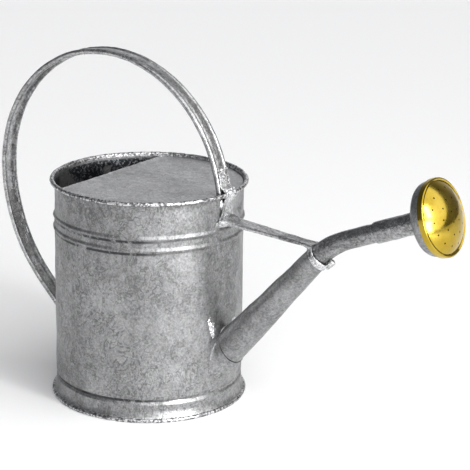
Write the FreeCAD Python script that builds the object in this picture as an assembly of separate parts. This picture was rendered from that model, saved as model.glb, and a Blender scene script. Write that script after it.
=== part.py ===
import FreeCAD, Part
import math
import os

# Round galvanised watering can with a long spout and a brass rose.
# Millimetres. +Z up, +X along the spout, the symmetry plane is Y = 0,
# and the origin is the centre of the standing ring at floor level.

# Driving dimensions of the tank
BODY_R = 110.0          # outer radius of the rolled wall
RIM_Z = 259.0           # height of the rim wire's centre
SHEET = 0.8             # sheet thickness of wall, pan, hood and spout
FOOT_HEM_OUT = 5.7      # how far the folded foot hem stands out of the wall
FOOT_HEM_H = 4.6
FOOT_CORNER = 0.7       # rounding of the hem's outer corners
FLARE_OUT = 2.9         # lean of the skirt where it meets the hem
FLARE_TOP_Z = 15.0
GROOVE_Z = 24.0         # swaged groove that carries the pan
GROOVE_DEPTH = 1.7
BEAD_DROPS = (55.0, 41.0)   # the two beads, below the rim wire
BEAD_H = 1.4
BEAD_HALF = 3.2         # half height of a bead or of the groove
RIM_FLARE = 0.8         # how far the wall leans out below the rim
RIM_FLARE_H = 9.0
RIM_WIRE_R = 1.75
RIM_CURL_END = -95.0    # where the curl's edge stops, in degrees
WIRE_GAP = 0.05         # clearance of each wire in its curl

# Pan
PAN_GAP = 0.05
PAN_FLANGE_H = 7.0

# Hood over the front of the mouth
HOOD_DROP = 2.0         # top face below the rim wire
HOOD_EDGE_X = -54.0     # straight free edge, across the can
HOOD_FLANGE_H = 6.0
HOOD_GAP = 0.05
HOOD_WIRE_R = 1.0
HOOD_HEM_LIFT = 0.6     # the hem stands this far above the sheet

# Handle: a strip with two rolled edges, bent in one plane
HANDLE_W = 23.6
HANDLE_D = 6.3
HANDLE_WEB = 1.2
HANDLE_RECESS = 0.75    # web set back from the outside of the rolls
HANDLE_SHEET = 1.0
HANDLE_GAP = 0.3        # front end to the inside of the wall
GRIP_RISE = 142.3       # top of the loop above the rim wire
FRONT_ARC_R = 163.3
REAR_ARC_R = 160.0
LOW_ARC_R = 196.0
HANDLE_LOW_Z = 53.6     # where the lower end meets the wall
PAD_DOWN = 24.6         # pad below and above that height
PAD_UP = 4.4
PAD_W = 23.0
PAD_T = 1.5

# Rivets
RIVET_R = 1.6
RIVET_HEAD_R = 3.4
RIVET_HEAD_H = 1.4
REAR_RIVET_DOWN = 13.6  # below the handle's lower end
REAR_RIVET_Y = 6.0
FRONT_RIVET_DOWN = 8.0  # below the tongue's top

# Spout
SPOUT_DEG = 48.6        # lower tube above horizontal
TIP_DEG = 22.6          # tip above horizontal
ELBOW_REACH = 121.3     # start of the bend, out from the wall
ELBOW_Z = 206.2
ELBOW_R = 112.0
CONE_END_R = 13.3
CONE_TAPER = 0.0378     # growth of the radius per mm towards the tank
SEAM_OUT = 8.9          # boot's seam before the axis meets the wall
SPIGOT_R = 10.4
LAP_L = 12.0            # upper tube pushed into the lower one
LAP_GAP = 0.05
OUTLET_R = 14.0

# Boot under the spout's root
SEAM_LEAN = 15.0        # degrees the seam leans from square to the tube
BOOT_ABOVE_GROOVE = 3.0
PRINT_HALF_W = 26.0     # half width of its print on the wall
PRINT_OVER_ROOT = 13.4  # top of the print, over the point where the spout's axis meets the wall
PRINT_IN = 3.5          # plane of the print's outline, inside the wall's front
PRINT_POWER = 0.6       # 1 would be an ellipse, 0 a rectangle

# Collar clip at the joint of the two tubes
COLLAR_DEG = 42.0
COLLAR_ALONG = 4.0      # middle of the clip, past the start of the bend
COLLAR_ROOM = 0.6       # clip's bore over the lower tube's end
COLLAR_T = 1.6
COLLAR_W = 13.0
LUG_R = 4.0
LUG_W = 6.0

# Brace from the rim to the collar
BRACE_ROOT_W = 24.0
BRACE_TIP_W = 15.0
BRACE_DEPTH = 4.5
BRACE_TIP_DEPTH = 3.0
BRACE_T = 1.2
BRACE_DROP = 28.0       # upper face at the wall, below the rim wire
BRACE_TIP_BACK = 5.0    # end of the strip, from the middle of the clip
BRACE_TIP_UP = 13.5
PLATE_LOW_HALF_W = 17.0
PLATE_TOP_HALF_W = 10.0
PLATE_GAP = 1.0         # plate above the upper bead
TONGUE_HALF_W = 9.0
TONGUE_RISE = 26.0      # above the rim wire
LAP_CLEAR = 0.05        # clearance of lapped sheets

# Rose
ROSE_DROOP_DEG = 4.0    # the rose hangs a little below the tip's line
SOCKET_START = 36.5     # mouth of the socket, past the end of the bend
SOCKET_L = 66.6
SOCKET_T = 1.55
SPIGOT_IN_SOCKET = 41.5
SOCKET_CLEAR = 0.05     # running clearance on the spigot
SOCKET_MOUTH_ROUND = 1.2
FACE_R = 42.6
FACE_SHEET = 0.8
CRIMP_GAP = 0.05        # face's skirt over the cup
CUP_FLAT_IN = 9.7       # flat back's edge, inside the cup's rim
CUP_SHOULDER_IN = 1.4   # shoulder's edge, inside the cup's rim
CUP_SHOULDER_A = 7.0    # distances with _A run forward from the cup's back
CUP_A = 17.0
CUP_NECK_R = 9.5
FACE_SKIRT_A = 13.5
FACE_RIM_A = 18.2
FACE_CREST_IN = 1.6     # crest of the rim, inside the face's edge
FACE_CREST_A = 20.0
FACE_GROOVE_IN = 3.0
FACE_GROOVE_W = 0.8
FACE_GROOVE_A = 19.2
FACE_DOME_A = 33.5
HOLE_R = 0.9
HOLE_RINGS = ((8.0, 4), (19.5, 10), (31.0, 14))

V = FreeCAD.Vector
UP = V(0, 0, 1)
ORIGIN = V(0, 0, 0)


def at(x, z, y=0.0):
    """A point given by its place in the symmetry plane."""
    return V(x, y, z)


def heading(degrees):
    """Unit vector in the symmetry plane, measured up from +X."""
    a = math.radians(degrees)
    return V(math.cos(a), 0, math.sin(a))


def line(a, b):
    return Part.LineSegment(a, b).toShape()


def arc(a, middle, b):
    return Part.Arc(a, middle, b).toShape()


def circle_arc(centre, radius, start, end):
    """Arc in the XZ plane between two angles in degrees."""
    points = [centre + heading(d) * radius for d in (start, (start + end) / 2.0, end)]
    return arc(*points)


def revolved(edges, turn=360.0, base=ORIGIN, axis=UP):
    """Solid of revolution of a closed profile."""
    face = Part.Face(Part.Wire(edges))
    solid = face.revolve(base, axis, turn)
    return as_solid(solid)


def as_solid(shape):
    """The shape's largest solid, facing outwards."""
    solids = shape.Solids or [Part.Solid(shape.Shells[0])]
    solid = max(solids, key=lambda s: abs(s.Volume))
    if solid.Volume < 0:
        solid.reverse()
    return solid


def polygon(points):
    """Closed run of straight edges."""
    return [line(a, b) for a, b in zip(points, points[1:] + points[:1])]


def joined(shapes):
    """Fused shapes as one solid."""
    return as_solid(shapes[0].fuse(shapes[1:]))


def cylinder(radius, base, direction, length):
    return Part.makeCylinder(radius, length, base, direction)


def strip_outline(points, offset, thickness):
    """Closed profile of a strip of even thickness along a bent line in the XZ plane."""
    def shifted(distance):
        moved = []
        for i, p in enumerate(points):
            before = points[i] - points[i - 1] if i else points[1] - points[0]
            after = points[i + 1] - p if i + 1 < len(points) else before
            n0 = V(before.z, 0, -before.x).normalize()
            n1 = V(after.z, 0, -after.x).normalize()
            bisector = (n0 + n1).normalize()
            moved.append(p + bisector * (distance / bisector.dot(n0)))
        return moved
    inner = shifted(offset)
    outer = shifted(offset + thickness)
    return polygon(inner + outer[::-1])


def extruded(edges, half_width):
    """Profile in the XZ plane, extruded both ways across the can."""
    face = Part.Face(Part.Wire(edges))
    face.translate(V(0, -half_width, 0))
    return as_solid(face.extrude(V(0, 2 * half_width, 0)))


# ---- tank -------------------------------------------------------------

RIM_CURL_R = RIM_WIRE_R + WIRE_GAP + SHEET
WALL_TOP_R = BODY_R + RIM_FLARE                     # outer radius just below the curl
RIM_C = at(WALL_TOP_R - SHEET + RIM_CURL_R, RIM_Z)  # centre of the rim wire
RIM_FLARE_Z = RIM_Z - RIM_FLARE_H
INNER_R = BODY_R - SHEET


def bulge(r, z, height, upwards):
    """Bead (height > 0) or groove (height < 0) in the wall's profile."""
    low = at(r, z - BEAD_HALF)
    high = at(r, z + BEAD_HALF)
    middle = at(r + height, z)
    return arc(low, middle, high) if upwards else arc(high, middle, low)


def flare_arc(shift, upwards):
    """Skirt that leans out from the wall to the foot hem."""
    rise = FLARE_TOP_Z - FOOT_HEM_H
    run = FLARE_OUT
    radius = (run * run + rise * rise) / (2 * run)
    sweep = math.asin(rise / radius)
    centre_r = BODY_R - shift + radius
    points = []
    for share in (1.0, 0.5, 0.0):
        a = sweep * share
        points.append(at(centre_r - radius * math.cos(a), FLARE_TOP_Z - radius * math.sin(a)))
    return arc(*(points if upwards else points[::-1]))


def wall_side(shift, upwards):
    """One face of the sheet between the hem and the rim, as a list of edges."""
    r = BODY_R - shift
    edges = [flare_arc(shift, True)]
    level = FLARE_TOP_Z
    heights = [(GROOVE_Z, -GROOVE_DEPTH)] + [(RIM_Z - drop, BEAD_H) for drop in BEAD_DROPS]
    for z, height in heights:
        edges.append(line(at(r, level), at(r, z - BEAD_HALF)))
        edges.append(bulge(r, z, height, True))
        level = z + BEAD_HALF
    edges.append(line(at(r, level), at(r, RIM_FLARE_Z)))
    edges.append(line(at(r, RIM_FLARE_Z), at(r + RIM_FLARE, RIM_Z)))
    return edges if upwards else edges[::-1]


def body_wall():
    wire_side = RIM_WIRE_R + WIRE_GAP
    inner_end = RIM_C + heading(RIM_CURL_END) * wire_side
    outer_end = RIM_C + heading(RIM_CURL_END) * RIM_CURL_R
    flare_r = BODY_R + FLARE_OUT
    hem_in = flare_r - SHEET
    hem_out = BODY_R + FOOT_HEM_OUT
    c = FOOT_CORNER
    k = c * (1 - math.sqrt(0.5))
    edges = wall_side(0.0, True)
    edges.append(circle_arc(RIM_C, wire_side, 180.0, 45.0))
    edges.append(circle_arc(RIM_C, wire_side, 45.0, RIM_CURL_END))
    edges.append(line(inner_end, outer_end))
    edges.append(circle_arc(RIM_C, RIM_CURL_R, RIM_CURL_END, 45.0))
    edges.append(circle_arc(RIM_C, RIM_CURL_R, 45.0, 180.0))
    edges += wall_side(SHEET, False)
    edges.append(line(at(hem_in, FOOT_HEM_H), at(hem_in, 0)))
    edges.append(line(at(hem_in, 0), at(hem_out - c, 0)))
    edges.append(arc(at(hem_out - c, 0), at(hem_out - k, k), at(hem_out, c)))
    edges.append(line(at(hem_out, c), at(hem_out, FOOT_HEM_H - c)))
    edges.append(arc(at(hem_out, FOOT_HEM_H - c), at(hem_out - k, FOOT_HEM_H - k),
                     at(hem_out - c, FOOT_HEM_H)))
    edges.append(line(at(hem_out - c, FOOT_HEM_H), at(flare_r, FOOT_HEM_H)))
    wall = revolved(Part.sortEdges(edges)[0])
    outlet = cylinder(OUTLET_R, spout_point(CONE_CUT + 3 * OUTLET_R), heading(SPOUT_DEG), 4 * OUTLET_R)
    wall = wall.cut(outlet)
    for y in (-REAR_RIVET_Y, REAR_RIVET_Y):
        wall = wall.cut(rear_rivet_shank(y))
    return as_solid(wall)


def rim_wire():
    return Part.makeTorus(RIM_C.x, RIM_WIRE_R, at(0, RIM_Z))


def bottom_pan():
    """Flat pan on the groove, with its flange turned up along the wall."""
    r = INNER_R - PAN_GAP
    z = GROOVE_Z + BEAD_HALF
    top = z + PAN_FLANGE_H
    points = [at(0, z), at(r, z), at(r, top),
              at(r - SHEET, top), at(r - SHEET, z + SHEET), at(0, z + SHEET)]
    return revolved(polygon(points))


# ---- hood -------------------------------------------------------------

HOOD_R = INNER_R - HOOD_GAP
HOOD_TOP_Z = RIM_Z - HOOD_DROP
HOOD_CURL_R = HOOD_WIRE_R + WIRE_GAP + SHEET
HOOD_HEM_Z = HOOD_TOP_Z + HOOD_HEM_LIFT - HOOD_CURL_R


def hood_keep():
    """Everything in front of the hood's free edge."""
    return Part.makeBox(2 * BODY_R, 4 * BODY_R, 4 * RIM_Z, V(HOOD_EDGE_X, -2 * BODY_R, -RIM_Z))


def hood():
    low = HOOD_TOP_Z - HOOD_FLANGE_H
    under = HOOD_TOP_Z - SHEET
    points = [at(0, under), at(HOOD_R - SHEET, under), at(HOOD_R - SHEET, low), at(HOOD_R, low),
              at(HOOD_R, HOOD_TOP_Z), at(0, HOOD_TOP_Z)]
    sheet = revolved(polygon(points)).common(hood_keep())
    base = V(HOOD_EDGE_X, -BODY_R, HOOD_HEM_Z)
    along = V(0, 1, 0)
    bounds = cylinder(HOOD_R, at(0, 0), UP, 2 * RIM_Z)
    hem = cylinder(HOOD_CURL_R, base, along, 2 * BODY_R).common(bounds)
    bore = cylinder(HOOD_WIRE_R + WIRE_GAP, base, along, 2 * BODY_R)
    return as_solid(sheet.fuse(hem).cut(bore))


def hood_wire():
    reach = math.sqrt(HOOD_R ** 2 - (abs(HOOD_EDGE_X) + HOOD_WIRE_R) ** 2)
    return cylinder(HOOD_WIRE_R, V(HOOD_EDGE_X, -reach, HOOD_HEM_Z), V(0, 1, 0), 2 * reach)


# ---- handle -----------------------------------------------------------

GRIP_TOP_Z = RIM_Z + GRIP_RISE
FRONT_RISE = HOOD_TOP_Z - (GRIP_TOP_Z - FRONT_ARC_R)    # front end above its arc's centre
FRONT_X = INNER_R - HANDLE_GAP - HANDLE_D / 2.0         # strip's middle where it stands on the hood
GRIP_X = FRONT_X - math.sqrt(FRONT_ARC_R ** 2 - FRONT_RISE ** 2)
FRONT_C = at(GRIP_X, GRIP_TOP_Z - FRONT_ARC_R)
REAR_C = at(GRIP_X, GRIP_TOP_Z - REAR_ARC_R)
LOW_C = REAR_C + at(LOW_ARC_R - REAR_ARC_R, 0)
HANDLE_OUT_R = FRONT_ARC_R + HANDLE_D / 2.0
WEB_OUT = HANDLE_D / 2.0 - HANDLE_RECESS
PAD_Z = HANDLE_LOW_Z - PAD_DOWN
PAD_TOP_Z = HANDLE_LOW_Z + PAD_UP


def handle_face(centre, outward):
    """Cross-section: a flat web between two curled edges that open inwards."""
    roll = HANDLE_D / 2.0
    web_in = WEB_OUT - HANDLE_WEB
    yc = HANDLE_W / 2.0 - roll
    y_out = yc - math.sqrt(roll ** 2 - WEB_OUT ** 2)
    y_in = yc - math.sqrt(roll ** 2 - web_in ** 2)

    def p(y, n):
        return centre + V(0, y, 0) + outward * n
    edges = [arc(p(y_out, WEB_OUT), p(yc + roll, 0), p(y_in, web_in)),
             line(p(y_in, web_in), p(-y_in, web_in)),
             arc(p(-y_in, web_in), p(-yc - roll, 0), p(-y_out, WEB_OUT)),
             line(p(-y_out, WEB_OUT), p(y_out, WEB_OUT))]
    face = Part.Face(Part.Wire(edges))
    normal = V(0, 1, 0).cross(outward)
    for y in (-yc, yc):
        bore = Part.Face(Part.Wire(Part.makeCircle(roll - HANDLE_SHEET, p(y, 0), normal)))
        face = face.cut(bore)
    return face.Faces[0]


def handle_arc(centre, radius, start, turn):
    """Bent stretch of the handle, turning from the front to the back."""
    outward = heading(start)
    face = handle_face(centre + outward * radius, outward)
    return as_solid(face.revolve(centre, V(0, -1, 0), turn))


def low_end():
    """Lower arc's turn, in degrees, at which its tangent reaches the pad, and that tangent's length."""
    to_pad = at(-BODY_R, HANDLE_LOW_Z) - LOW_C
    seen = math.degrees(math.atan2(-to_pad.z, -to_pad.x))
    turn = seen - math.degrees(math.acos(LOW_ARC_R / to_pad.Length))
    return turn, math.sqrt(to_pad.Length ** 2 - LOW_ARC_R ** 2)


def handle():
    spare = 3.0
    start = math.degrees(math.asin(FRONT_RISE / FRONT_ARC_R)) - spare
    front = handle_arc(FRONT_C, FRONT_ARC_R, start, 90.0 - start)
    rear = handle_arc(REAR_C, REAR_ARC_R, 90.0, 90.0)
    turn, reach = low_end()
    low = handle_arc(LOW_C, LOW_ARC_R, 180.0, turn)
    outward = heading(180.0 + turn)
    end = LOW_C + outward * LOW_ARC_R
    run = V(-outward.z, 0, outward.x)
    straight = as_solid(handle_face(end, outward).extrude(run * (reach + HANDLE_W)))
    below_hood = Part.makeBox(4 * BODY_R, 4 * BODY_R, HOOD_TOP_Z, V(0, -2 * BODY_R, 0))
    inside_wall = cylinder(BODY_R, ORIGIN, UP, RIM_Z)
    beyond = Part.makeBox(4 * BODY_R, 4 * BODY_R, RIM_Z, V(-BODY_R / 2.0, -2 * BODY_R, -RIM_Z / 2.0))
    straight = straight.cut(beyond).cut(inside_wall)
    strip = joined([front.cut(below_hood), rear, low, straight, pad()])
    for y in (-REAR_RIVET_Y, REAR_RIVET_Y):
        strip = strip.cut(rear_rivet_shank(y))
    return as_solid(strip.cut(front_rivet_shank()))


def pad():
    """Curved pad that the handle's lower end spreads into, flat on the wall."""
    half_angle = math.degrees(math.asin(PAD_W / 2.0 / BODY_R))
    outer_r = BODY_R + PAD_T
    points = [at(BODY_R, PAD_Z), at(outer_r, PAD_Z), at(outer_r, PAD_TOP_Z), at(BODY_R, PAD_TOP_Z)]
    plate = revolved(polygon(points), 2 * half_angle)
    plate.rotate(ORIGIN, UP, 180.0 - half_angle)
    return plate


# ---- rivets -----------------------------------------------------------

REAR_RIVET_Z = HANDLE_LOW_Z - REAR_RIVET_DOWN
TONGUE_TOP_Z = RIM_Z + TONGUE_RISE
FRONT_RIVET_Z = TONGUE_TOP_Z - FRONT_RIVET_DOWN


def rear_rivet_shank(y):
    reach = 4 * RIVET_HEAD_R
    return cylinder(RIVET_R, V(-BODY_R - reach, y, REAR_RIVET_Z), V(1, 0, 0), 2 * reach)


def rear_rivet(y):
    """Domed outer head, shank through pad and wall, flat inner head."""
    outer = math.sqrt((BODY_R + PAD_T) ** 2 - (abs(y) - RIVET_HEAD_R) ** 2)
    inner = math.sqrt(INNER_R ** 2 - (abs(y) + RIVET_HEAD_R) ** 2)
    axis = V(1, 0, 0)
    reach = outer - inner
    base = V(-outer, y, REAR_RIVET_Z)
    shank = cylinder(RIVET_R, base - axis * 0.5, axis, reach + 1.0)
    head = cylinder(RIVET_HEAD_R, base - axis * RIVET_HEAD_H, axis, RIVET_HEAD_H)
    tail = cylinder(RIVET_HEAD_R, base + axis * reach, axis, RIVET_HEAD_H)
    return joined([shank, head, tail])


def rear_rivets():
    return Part.makeCompound([rear_rivet(y) for y in (-REAR_RIVET_Y, REAR_RIVET_Y)])


def front_rivet_axis():
    """Outward direction and point on the handle's line at the rivet's height."""
    a = math.degrees(math.asin((FRONT_RIVET_Z - FRONT_C.z) / FRONT_ARC_R))
    outward = heading(a)
    return FRONT_C + outward * FRONT_ARC_R, outward


def front_rivet_shank():
    point, outward = front_rivet_axis()
    return cylinder(RIVET_R, point - outward * HANDLE_D, outward, 3 * HANDLE_D)


def front_rivet():
    """Holds the brace's tongue to the handle's web."""
    point, outward = front_rivet_axis()
    web_bow = RIVET_HEAD_R ** 2 / (2 * FRONT_ARC_R)
    low = point + outward * (WEB_OUT - HANDLE_WEB - web_bow)
    high = point + outward * (HANDLE_D / 2.0 + LAP_CLEAR + BRACE_T)
    shank = cylinder(RIVET_R, low - outward * 0.5, outward, (high - low).Length + 1.0)
    head = cylinder(RIVET_HEAD_R, high, outward, RIVET_HEAD_H)
    tail = cylinder(RIVET_HEAD_R, low - outward * RIVET_HEAD_H, outward, RIVET_HEAD_H)
    return joined([shank, head, tail])


# ---- spout ------------------------------------------------------------

BEND = at(BODY_R + ELBOW_REACH, ELBOW_Z)
CONE_CUT = ELBOW_REACH / heading(SPOUT_DEG).x - SEAM_OUT    # length of the lower tube's axis
SPIGOT_L = SOCKET_START + SPIGOT_IN_SOCKET


def spout_point(back):
    """Point on the lower tube's axis, this far before the bend."""
    return BEND - heading(SPOUT_DEG) * back


def spout_radius(back):
    return CONE_END_R + CONE_TAPER * back


def cone_solid(shift, start, end):
    """Lower tube's cone between two distances before the bend."""
    return Part.makeCone(spout_radius(start) - shift, spout_radius(end) - shift, start - end,
                         spout_point(start), heading(SPOUT_DEG))


SEAM_FOOT = spout_point(CONE_CUT) + heading(SPOUT_DEG - 90.0) * spout_radius(CONE_CUT)
SEAM_FACE = heading(SPOUT_DEG - SEAM_LEAN)      # square to the boot's seam


def spout_cone():
    """Lower tube: cut at the boot's leaning seam, and to the wall above it."""
    spare = 5.0
    outer = cone_solid(0.0, CONE_CUT + spare, 0.0)
    inner = cone_solid(SHEET, CONE_CUT + 2.0 * spare, -1.0)
    beyond_seam = cylinder(3.0 * spout_radius(CONE_CUT), SEAM_FOOT, SEAM_FACE * -1.0, CONE_CUT)
    wall = cylinder(BODY_R, ORIGIN, UP, RIM_Z)
    return as_solid(outer.cut(inner).cut(beyond_seam).cut(wall))


def elbow_centre():
    return BEND + heading(SPOUT_DEG - 90.0) * ELBOW_R


def elbow_end():
    return elbow_centre() + heading(TIP_DEG + 90.0) * ELBOW_R


def elbow_solid(shift):
    """Bent taper from the lap to the tip's straight spigot."""
    stations = 7
    lap_r = CONE_END_R - SHEET - LAP_GAP
    wires = []
    for i in range(stations):
        share = i / (stations - 1.0)
        degrees = SPOUT_DEG + (TIP_DEG - SPOUT_DEG) * share
        centre = elbow_centre() + heading(degrees + 90.0) * ELBOW_R
        radius = lap_r + (SPIGOT_R - lap_r) * share - shift
        wires.append(ring_wire(centre, heading(degrees), radius))
    bend = as_solid(Part.makeLoft(wires, True, False))
    lap = cylinder(lap_r - shift, spout_point(LAP_L), heading(SPOUT_DEG), LAP_L)
    spigot = cylinder(SPIGOT_R - shift, elbow_end(), heading(TIP_DEG), SPIGOT_L)
    return joined([bend, lap, spigot])


def ring_wire(centre, direction, radius):
    """Circle as two arcs that start at the side, so that lofts don't twist."""
    side = V(0, 1, 0)
    over = direction.cross(side)
    points = [centre + side * radius, centre + over * radius,
              centre - side * radius, centre - over * radius]
    return Part.Wire([arc(points[0], points[1], points[2]), arc(points[2], points[3], points[0])])


def spout_elbow():
    return as_solid(elbow_solid(0.0).cut(elbow_solid(SHEET)))


def oval_wire(centre, over, side_r):
    """Ellipse with half axes over and side_r, made like ring_wire's circle."""
    matrix = FreeCAD.Matrix(-over.x, 0, over.z, centre.x,
                            0, side_r, 0, centre.y,
                            -over.z, 0, -over.x, centre.z)
    return ring_wire(ORIGIN, UP, 1.0).transformGeometry(matrix)


def seam_end(side, shift):
    """Where the lower tube's top line (1) or bottom line (-1) meets the seam's plane."""
    over = heading(SPOUT_DEG + 90.0 * side)
    start = BEND + over * (CONE_END_R - shift)
    fall = over * CONE_TAPER - heading(SPOUT_DEG)
    return start + fall * ((SEAM_FOOT - start).dot(SEAM_FACE) / fall.dot(SEAM_FACE))


def seam_wire(shift):
    """Oval in which the seam's plane cuts the lower tube."""
    high = seam_end(1, shift)
    centre = (high + seam_end(-1, shift)) * 0.5
    off_axis = (centre - BEND).dot(heading(SPOUT_DEG + 90.0))
    radius = spout_radius((BEND - centre).dot(heading(SPOUT_DEG))) - shift
    return oval_wire(centre, high - centre, math.sqrt(radius ** 2 - off_axis ** 2))


def print_wire(shift):
    """Squarish oval on an upright plane just inside the wall, as two curves that start at the side."""
    ridge_foot = at(BODY_R, GROOVE_Z + BOOT_ABOVE_GROOVE)
    slope = (SEAM_FOOT.z - ridge_foot.z) / (SEAM_FOOT.x - ridge_foot.x)
    low = ridge_foot.z - slope * PRINT_IN
    high = spout_point(ELBOW_REACH / heading(SPOUT_DEG).x).z + PRINT_OVER_ROOT
    middle = at(BODY_R - PRINT_IN, (low + high) / 2.0)
    steps = 16
    halves = []
    for start in (0.0, 180.0):
        points = []
        for i in range(steps + 1):
            turn = math.radians(start + 180.0 * i / steps)
            aside = math.copysign(abs(math.cos(turn)) ** PRINT_POWER, math.cos(turn))
            upward = math.copysign(abs(math.sin(turn)) ** PRINT_POWER, math.sin(turn))
            half_h = (high - low) / 2.0 - shift
            points.append(middle + V(0, aside * (PRINT_HALF_W - shift), upward * half_h))
        curve = Part.BSplineCurve()
        curve.interpolate(points)
        halves.append(curve.toShape())
    return Part.Wire(halves)


def boot_solid(shift):
    """Taper from the spout's seam to the print on the wall."""
    return as_solid(Part.makeLoft([print_wire(shift), seam_wire(shift)], True, True))


def spout_boot():
    wall = cylinder(BODY_R, ORIGIN, UP, RIM_Z)
    return as_solid(boot_solid(0.0).cut(boot_solid(SHEET)).cut(wall))


COLLAR_IN_R = CONE_END_R + COLLAR_ROOM
COLLAR_MIDDLE = BEND + heading(COLLAR_DEG) * COLLAR_ALONG


def collar_base():
    return COLLAR_MIDDLE - heading(COLLAR_DEG) * (COLLAR_W / 2.0)


def spout_collar():
    """Clip round the joint of the two tubes, its ends pressed into a lug below."""
    outer = COLLAR_IN_R + COLLAR_T
    axis = heading(COLLAR_DEG)
    down = heading(COLLAR_DEG - 90.0)
    band = cylinder(outer, collar_base(), axis, COLLAR_W)
    lug_base = collar_base() + axis * ((COLLAR_W - LUG_W) / 2.0) + down * outer
    lug = cylinder(LUG_R, lug_base, axis, LUG_W)
    bore = cylinder(COLLAR_IN_R, collar_base() - axis, axis, COLLAR_W + 2.0)
    return as_solid(band.fuse(lug).cut(bore))


# ---- brace ------------------------------------------------------------

PLATE_LOW_Z = RIM_Z - min(BEAD_DROPS) + BEAD_HALF + PLATE_GAP


def channel_wire(x, z_top, half_width, depth):
    """Inverted U across the can."""
    low = z_top - depth
    under = z_top - BRACE_T
    inside = half_width - BRACE_T
    profile = [(-half_width, low), (-half_width, z_top), (half_width, z_top), (half_width, low),
               (inside, low), (inside, under), (-inside, under), (-inside, low)]
    return Part.Wire(polygon([V(x, y, z) for y, z in profile]))


def brace_channel():
    """Strip with two turned-down edges, from inside the wall plate to the collar."""
    root_x = math.sqrt(BODY_R ** 2 - (BRACE_ROOT_W / 2.0) ** 2) - 1.0
    start = channel_wire(root_x, RIM_Z - BRACE_DROP, BRACE_ROOT_W / 2.0, BRACE_DEPTH)
    end = channel_wire(COLLAR_MIDDLE.x - BRACE_TIP_BACK, COLLAR_MIDDLE.z + BRACE_TIP_UP,
                       BRACE_TIP_W / 2.0, BRACE_TIP_DEPTH)
    strip = as_solid(Part.makeLoft([start, end], True, True))
    wall = cylinder(BODY_R + LAP_CLEAR, ORIGIN, UP, 2 * RIM_Z)
    seat = cylinder(COLLAR_IN_R + COLLAR_T, collar_base() - heading(COLLAR_DEG) * BODY_R,
                    heading(COLLAR_DEG), 3 * BODY_R)
    return as_solid(strip.cut(wall).cut(seat))


def wall_plate():
    """Shield-shaped root, curved to the wall."""
    r = BODY_R + LAP_CLEAR
    top = RIM_FLARE_Z
    points = [at(r, PLATE_LOW_Z), at(r + BRACE_T, PLATE_LOW_Z), at(r + BRACE_T, top), at(r, top)]
    half_angle = 1.2 * math.degrees(math.asin(PLATE_LOW_HALF_W / BODY_R))
    ring = revolved(polygon(points), 2 * half_angle)
    ring.rotate(ORIGIN, UP, -half_angle)
    shield = [V(0, -PLATE_LOW_HALF_W, PLATE_LOW_Z), V(0, PLATE_LOW_HALF_W, PLATE_LOW_Z),
              V(0, PLATE_TOP_HALF_W, top), V(0, -PLATE_TOP_HALF_W, top)]
    outline = Part.Face(Part.Wire(polygon(shield))).extrude(V(2 * BODY_R, 0, 0))
    return as_solid(ring.common(outline))


def grip_x(z):
    """Outside of the handle in front, at a height."""
    return FRONT_C.x + math.sqrt(HANDLE_OUT_R ** 2 - (z - FRONT_C.z) ** 2)


def tongue():
    """The plate's upper end: out over the rim's curl and up the handle."""
    clear = RIM_CURL_R + LAP_CLEAR
    wall_r = BODY_R + LAP_CLEAR
    lip = RIM_C.x + clear
    top = RIM_C.z + clear
    half_curl = clear * 0.55
    lap_z = top + 2 * clear
    points = [at(wall_r, RIM_FLARE_Z - 2 * clear), at(wall_r, RIM_FLARE_Z), at(lip, RIM_C.z - half_curl),
              at(lip, RIM_C.z + half_curl), at(lip - half_curl, top)]
    for share in (0.0, 0.33, 0.67, 1.0):
        z = lap_z + (TONGUE_TOP_Z - lap_z) * share
        points.append(at(grip_x(z) + LAP_CLEAR, z))
    return extruded(strip_outline(points, 0.0, BRACE_T), TONGUE_HALF_W)


def brace():
    body = joined([wall_plate(), brace_channel(), tongue()])
    return as_solid(body.cut(front_rivet_shank()))


# ---- rose -------------------------------------------------------------

SPIGOT_BORE_R = SPIGOT_R + SOCKET_CLEAR
CUP_R = FACE_R - FACE_SHEET - CRIMP_GAP
CUP_SHOULDER_R = CUP_R - CUP_SHOULDER_IN
CUP_FLAT_R = CUP_R - CUP_FLAT_IN
CREST_R = FACE_R - FACE_CREST_IN
GROOVE_R = FACE_R - FACE_GROOVE_IN
DOME_R = GROOVE_R - FACE_GROOVE_W


def rose_back_point():
    return elbow_end() + heading(TIP_DEG) * (SOCKET_START + SOCKET_L)


def placed_on_rose(shape):
    """Move a shape made about +Z onto the rose's axis, its base on the cup's back."""
    shape.rotate(ORIGIN, V(0, 1, 0), 90.0 - (TIP_DEG - ROSE_DROOP_DEG))
    shape.translate(rose_back_point())
    return shape


def rose_socket():
    """Sleeve that is pushed over the spout's spigot."""
    axis = heading(TIP_DEG)
    outer_r = SPIGOT_BORE_R + SOCKET_T
    start = elbow_end() + axis * SOCKET_START
    length = SOCKET_L + outer_r
    sleeve = cylinder(outer_r, start, axis, length)
    mouth = [e for e in sleeve.Edges if e.BoundBox.Center.distanceToPoint(start) < 1.0]
    sleeve = sleeve.makeFillet(SOCKET_MOUTH_ROUND, mouth)
    bore = cylinder(SPIGOT_BORE_R, start - axis, axis, length + 2.0)
    beyond_cup = placed_on_rose(cylinder(4 * outer_r, ORIGIN, UP, 4 * outer_r))
    return as_solid(sleeve.cut(bore).cut(beyond_cup))


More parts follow.
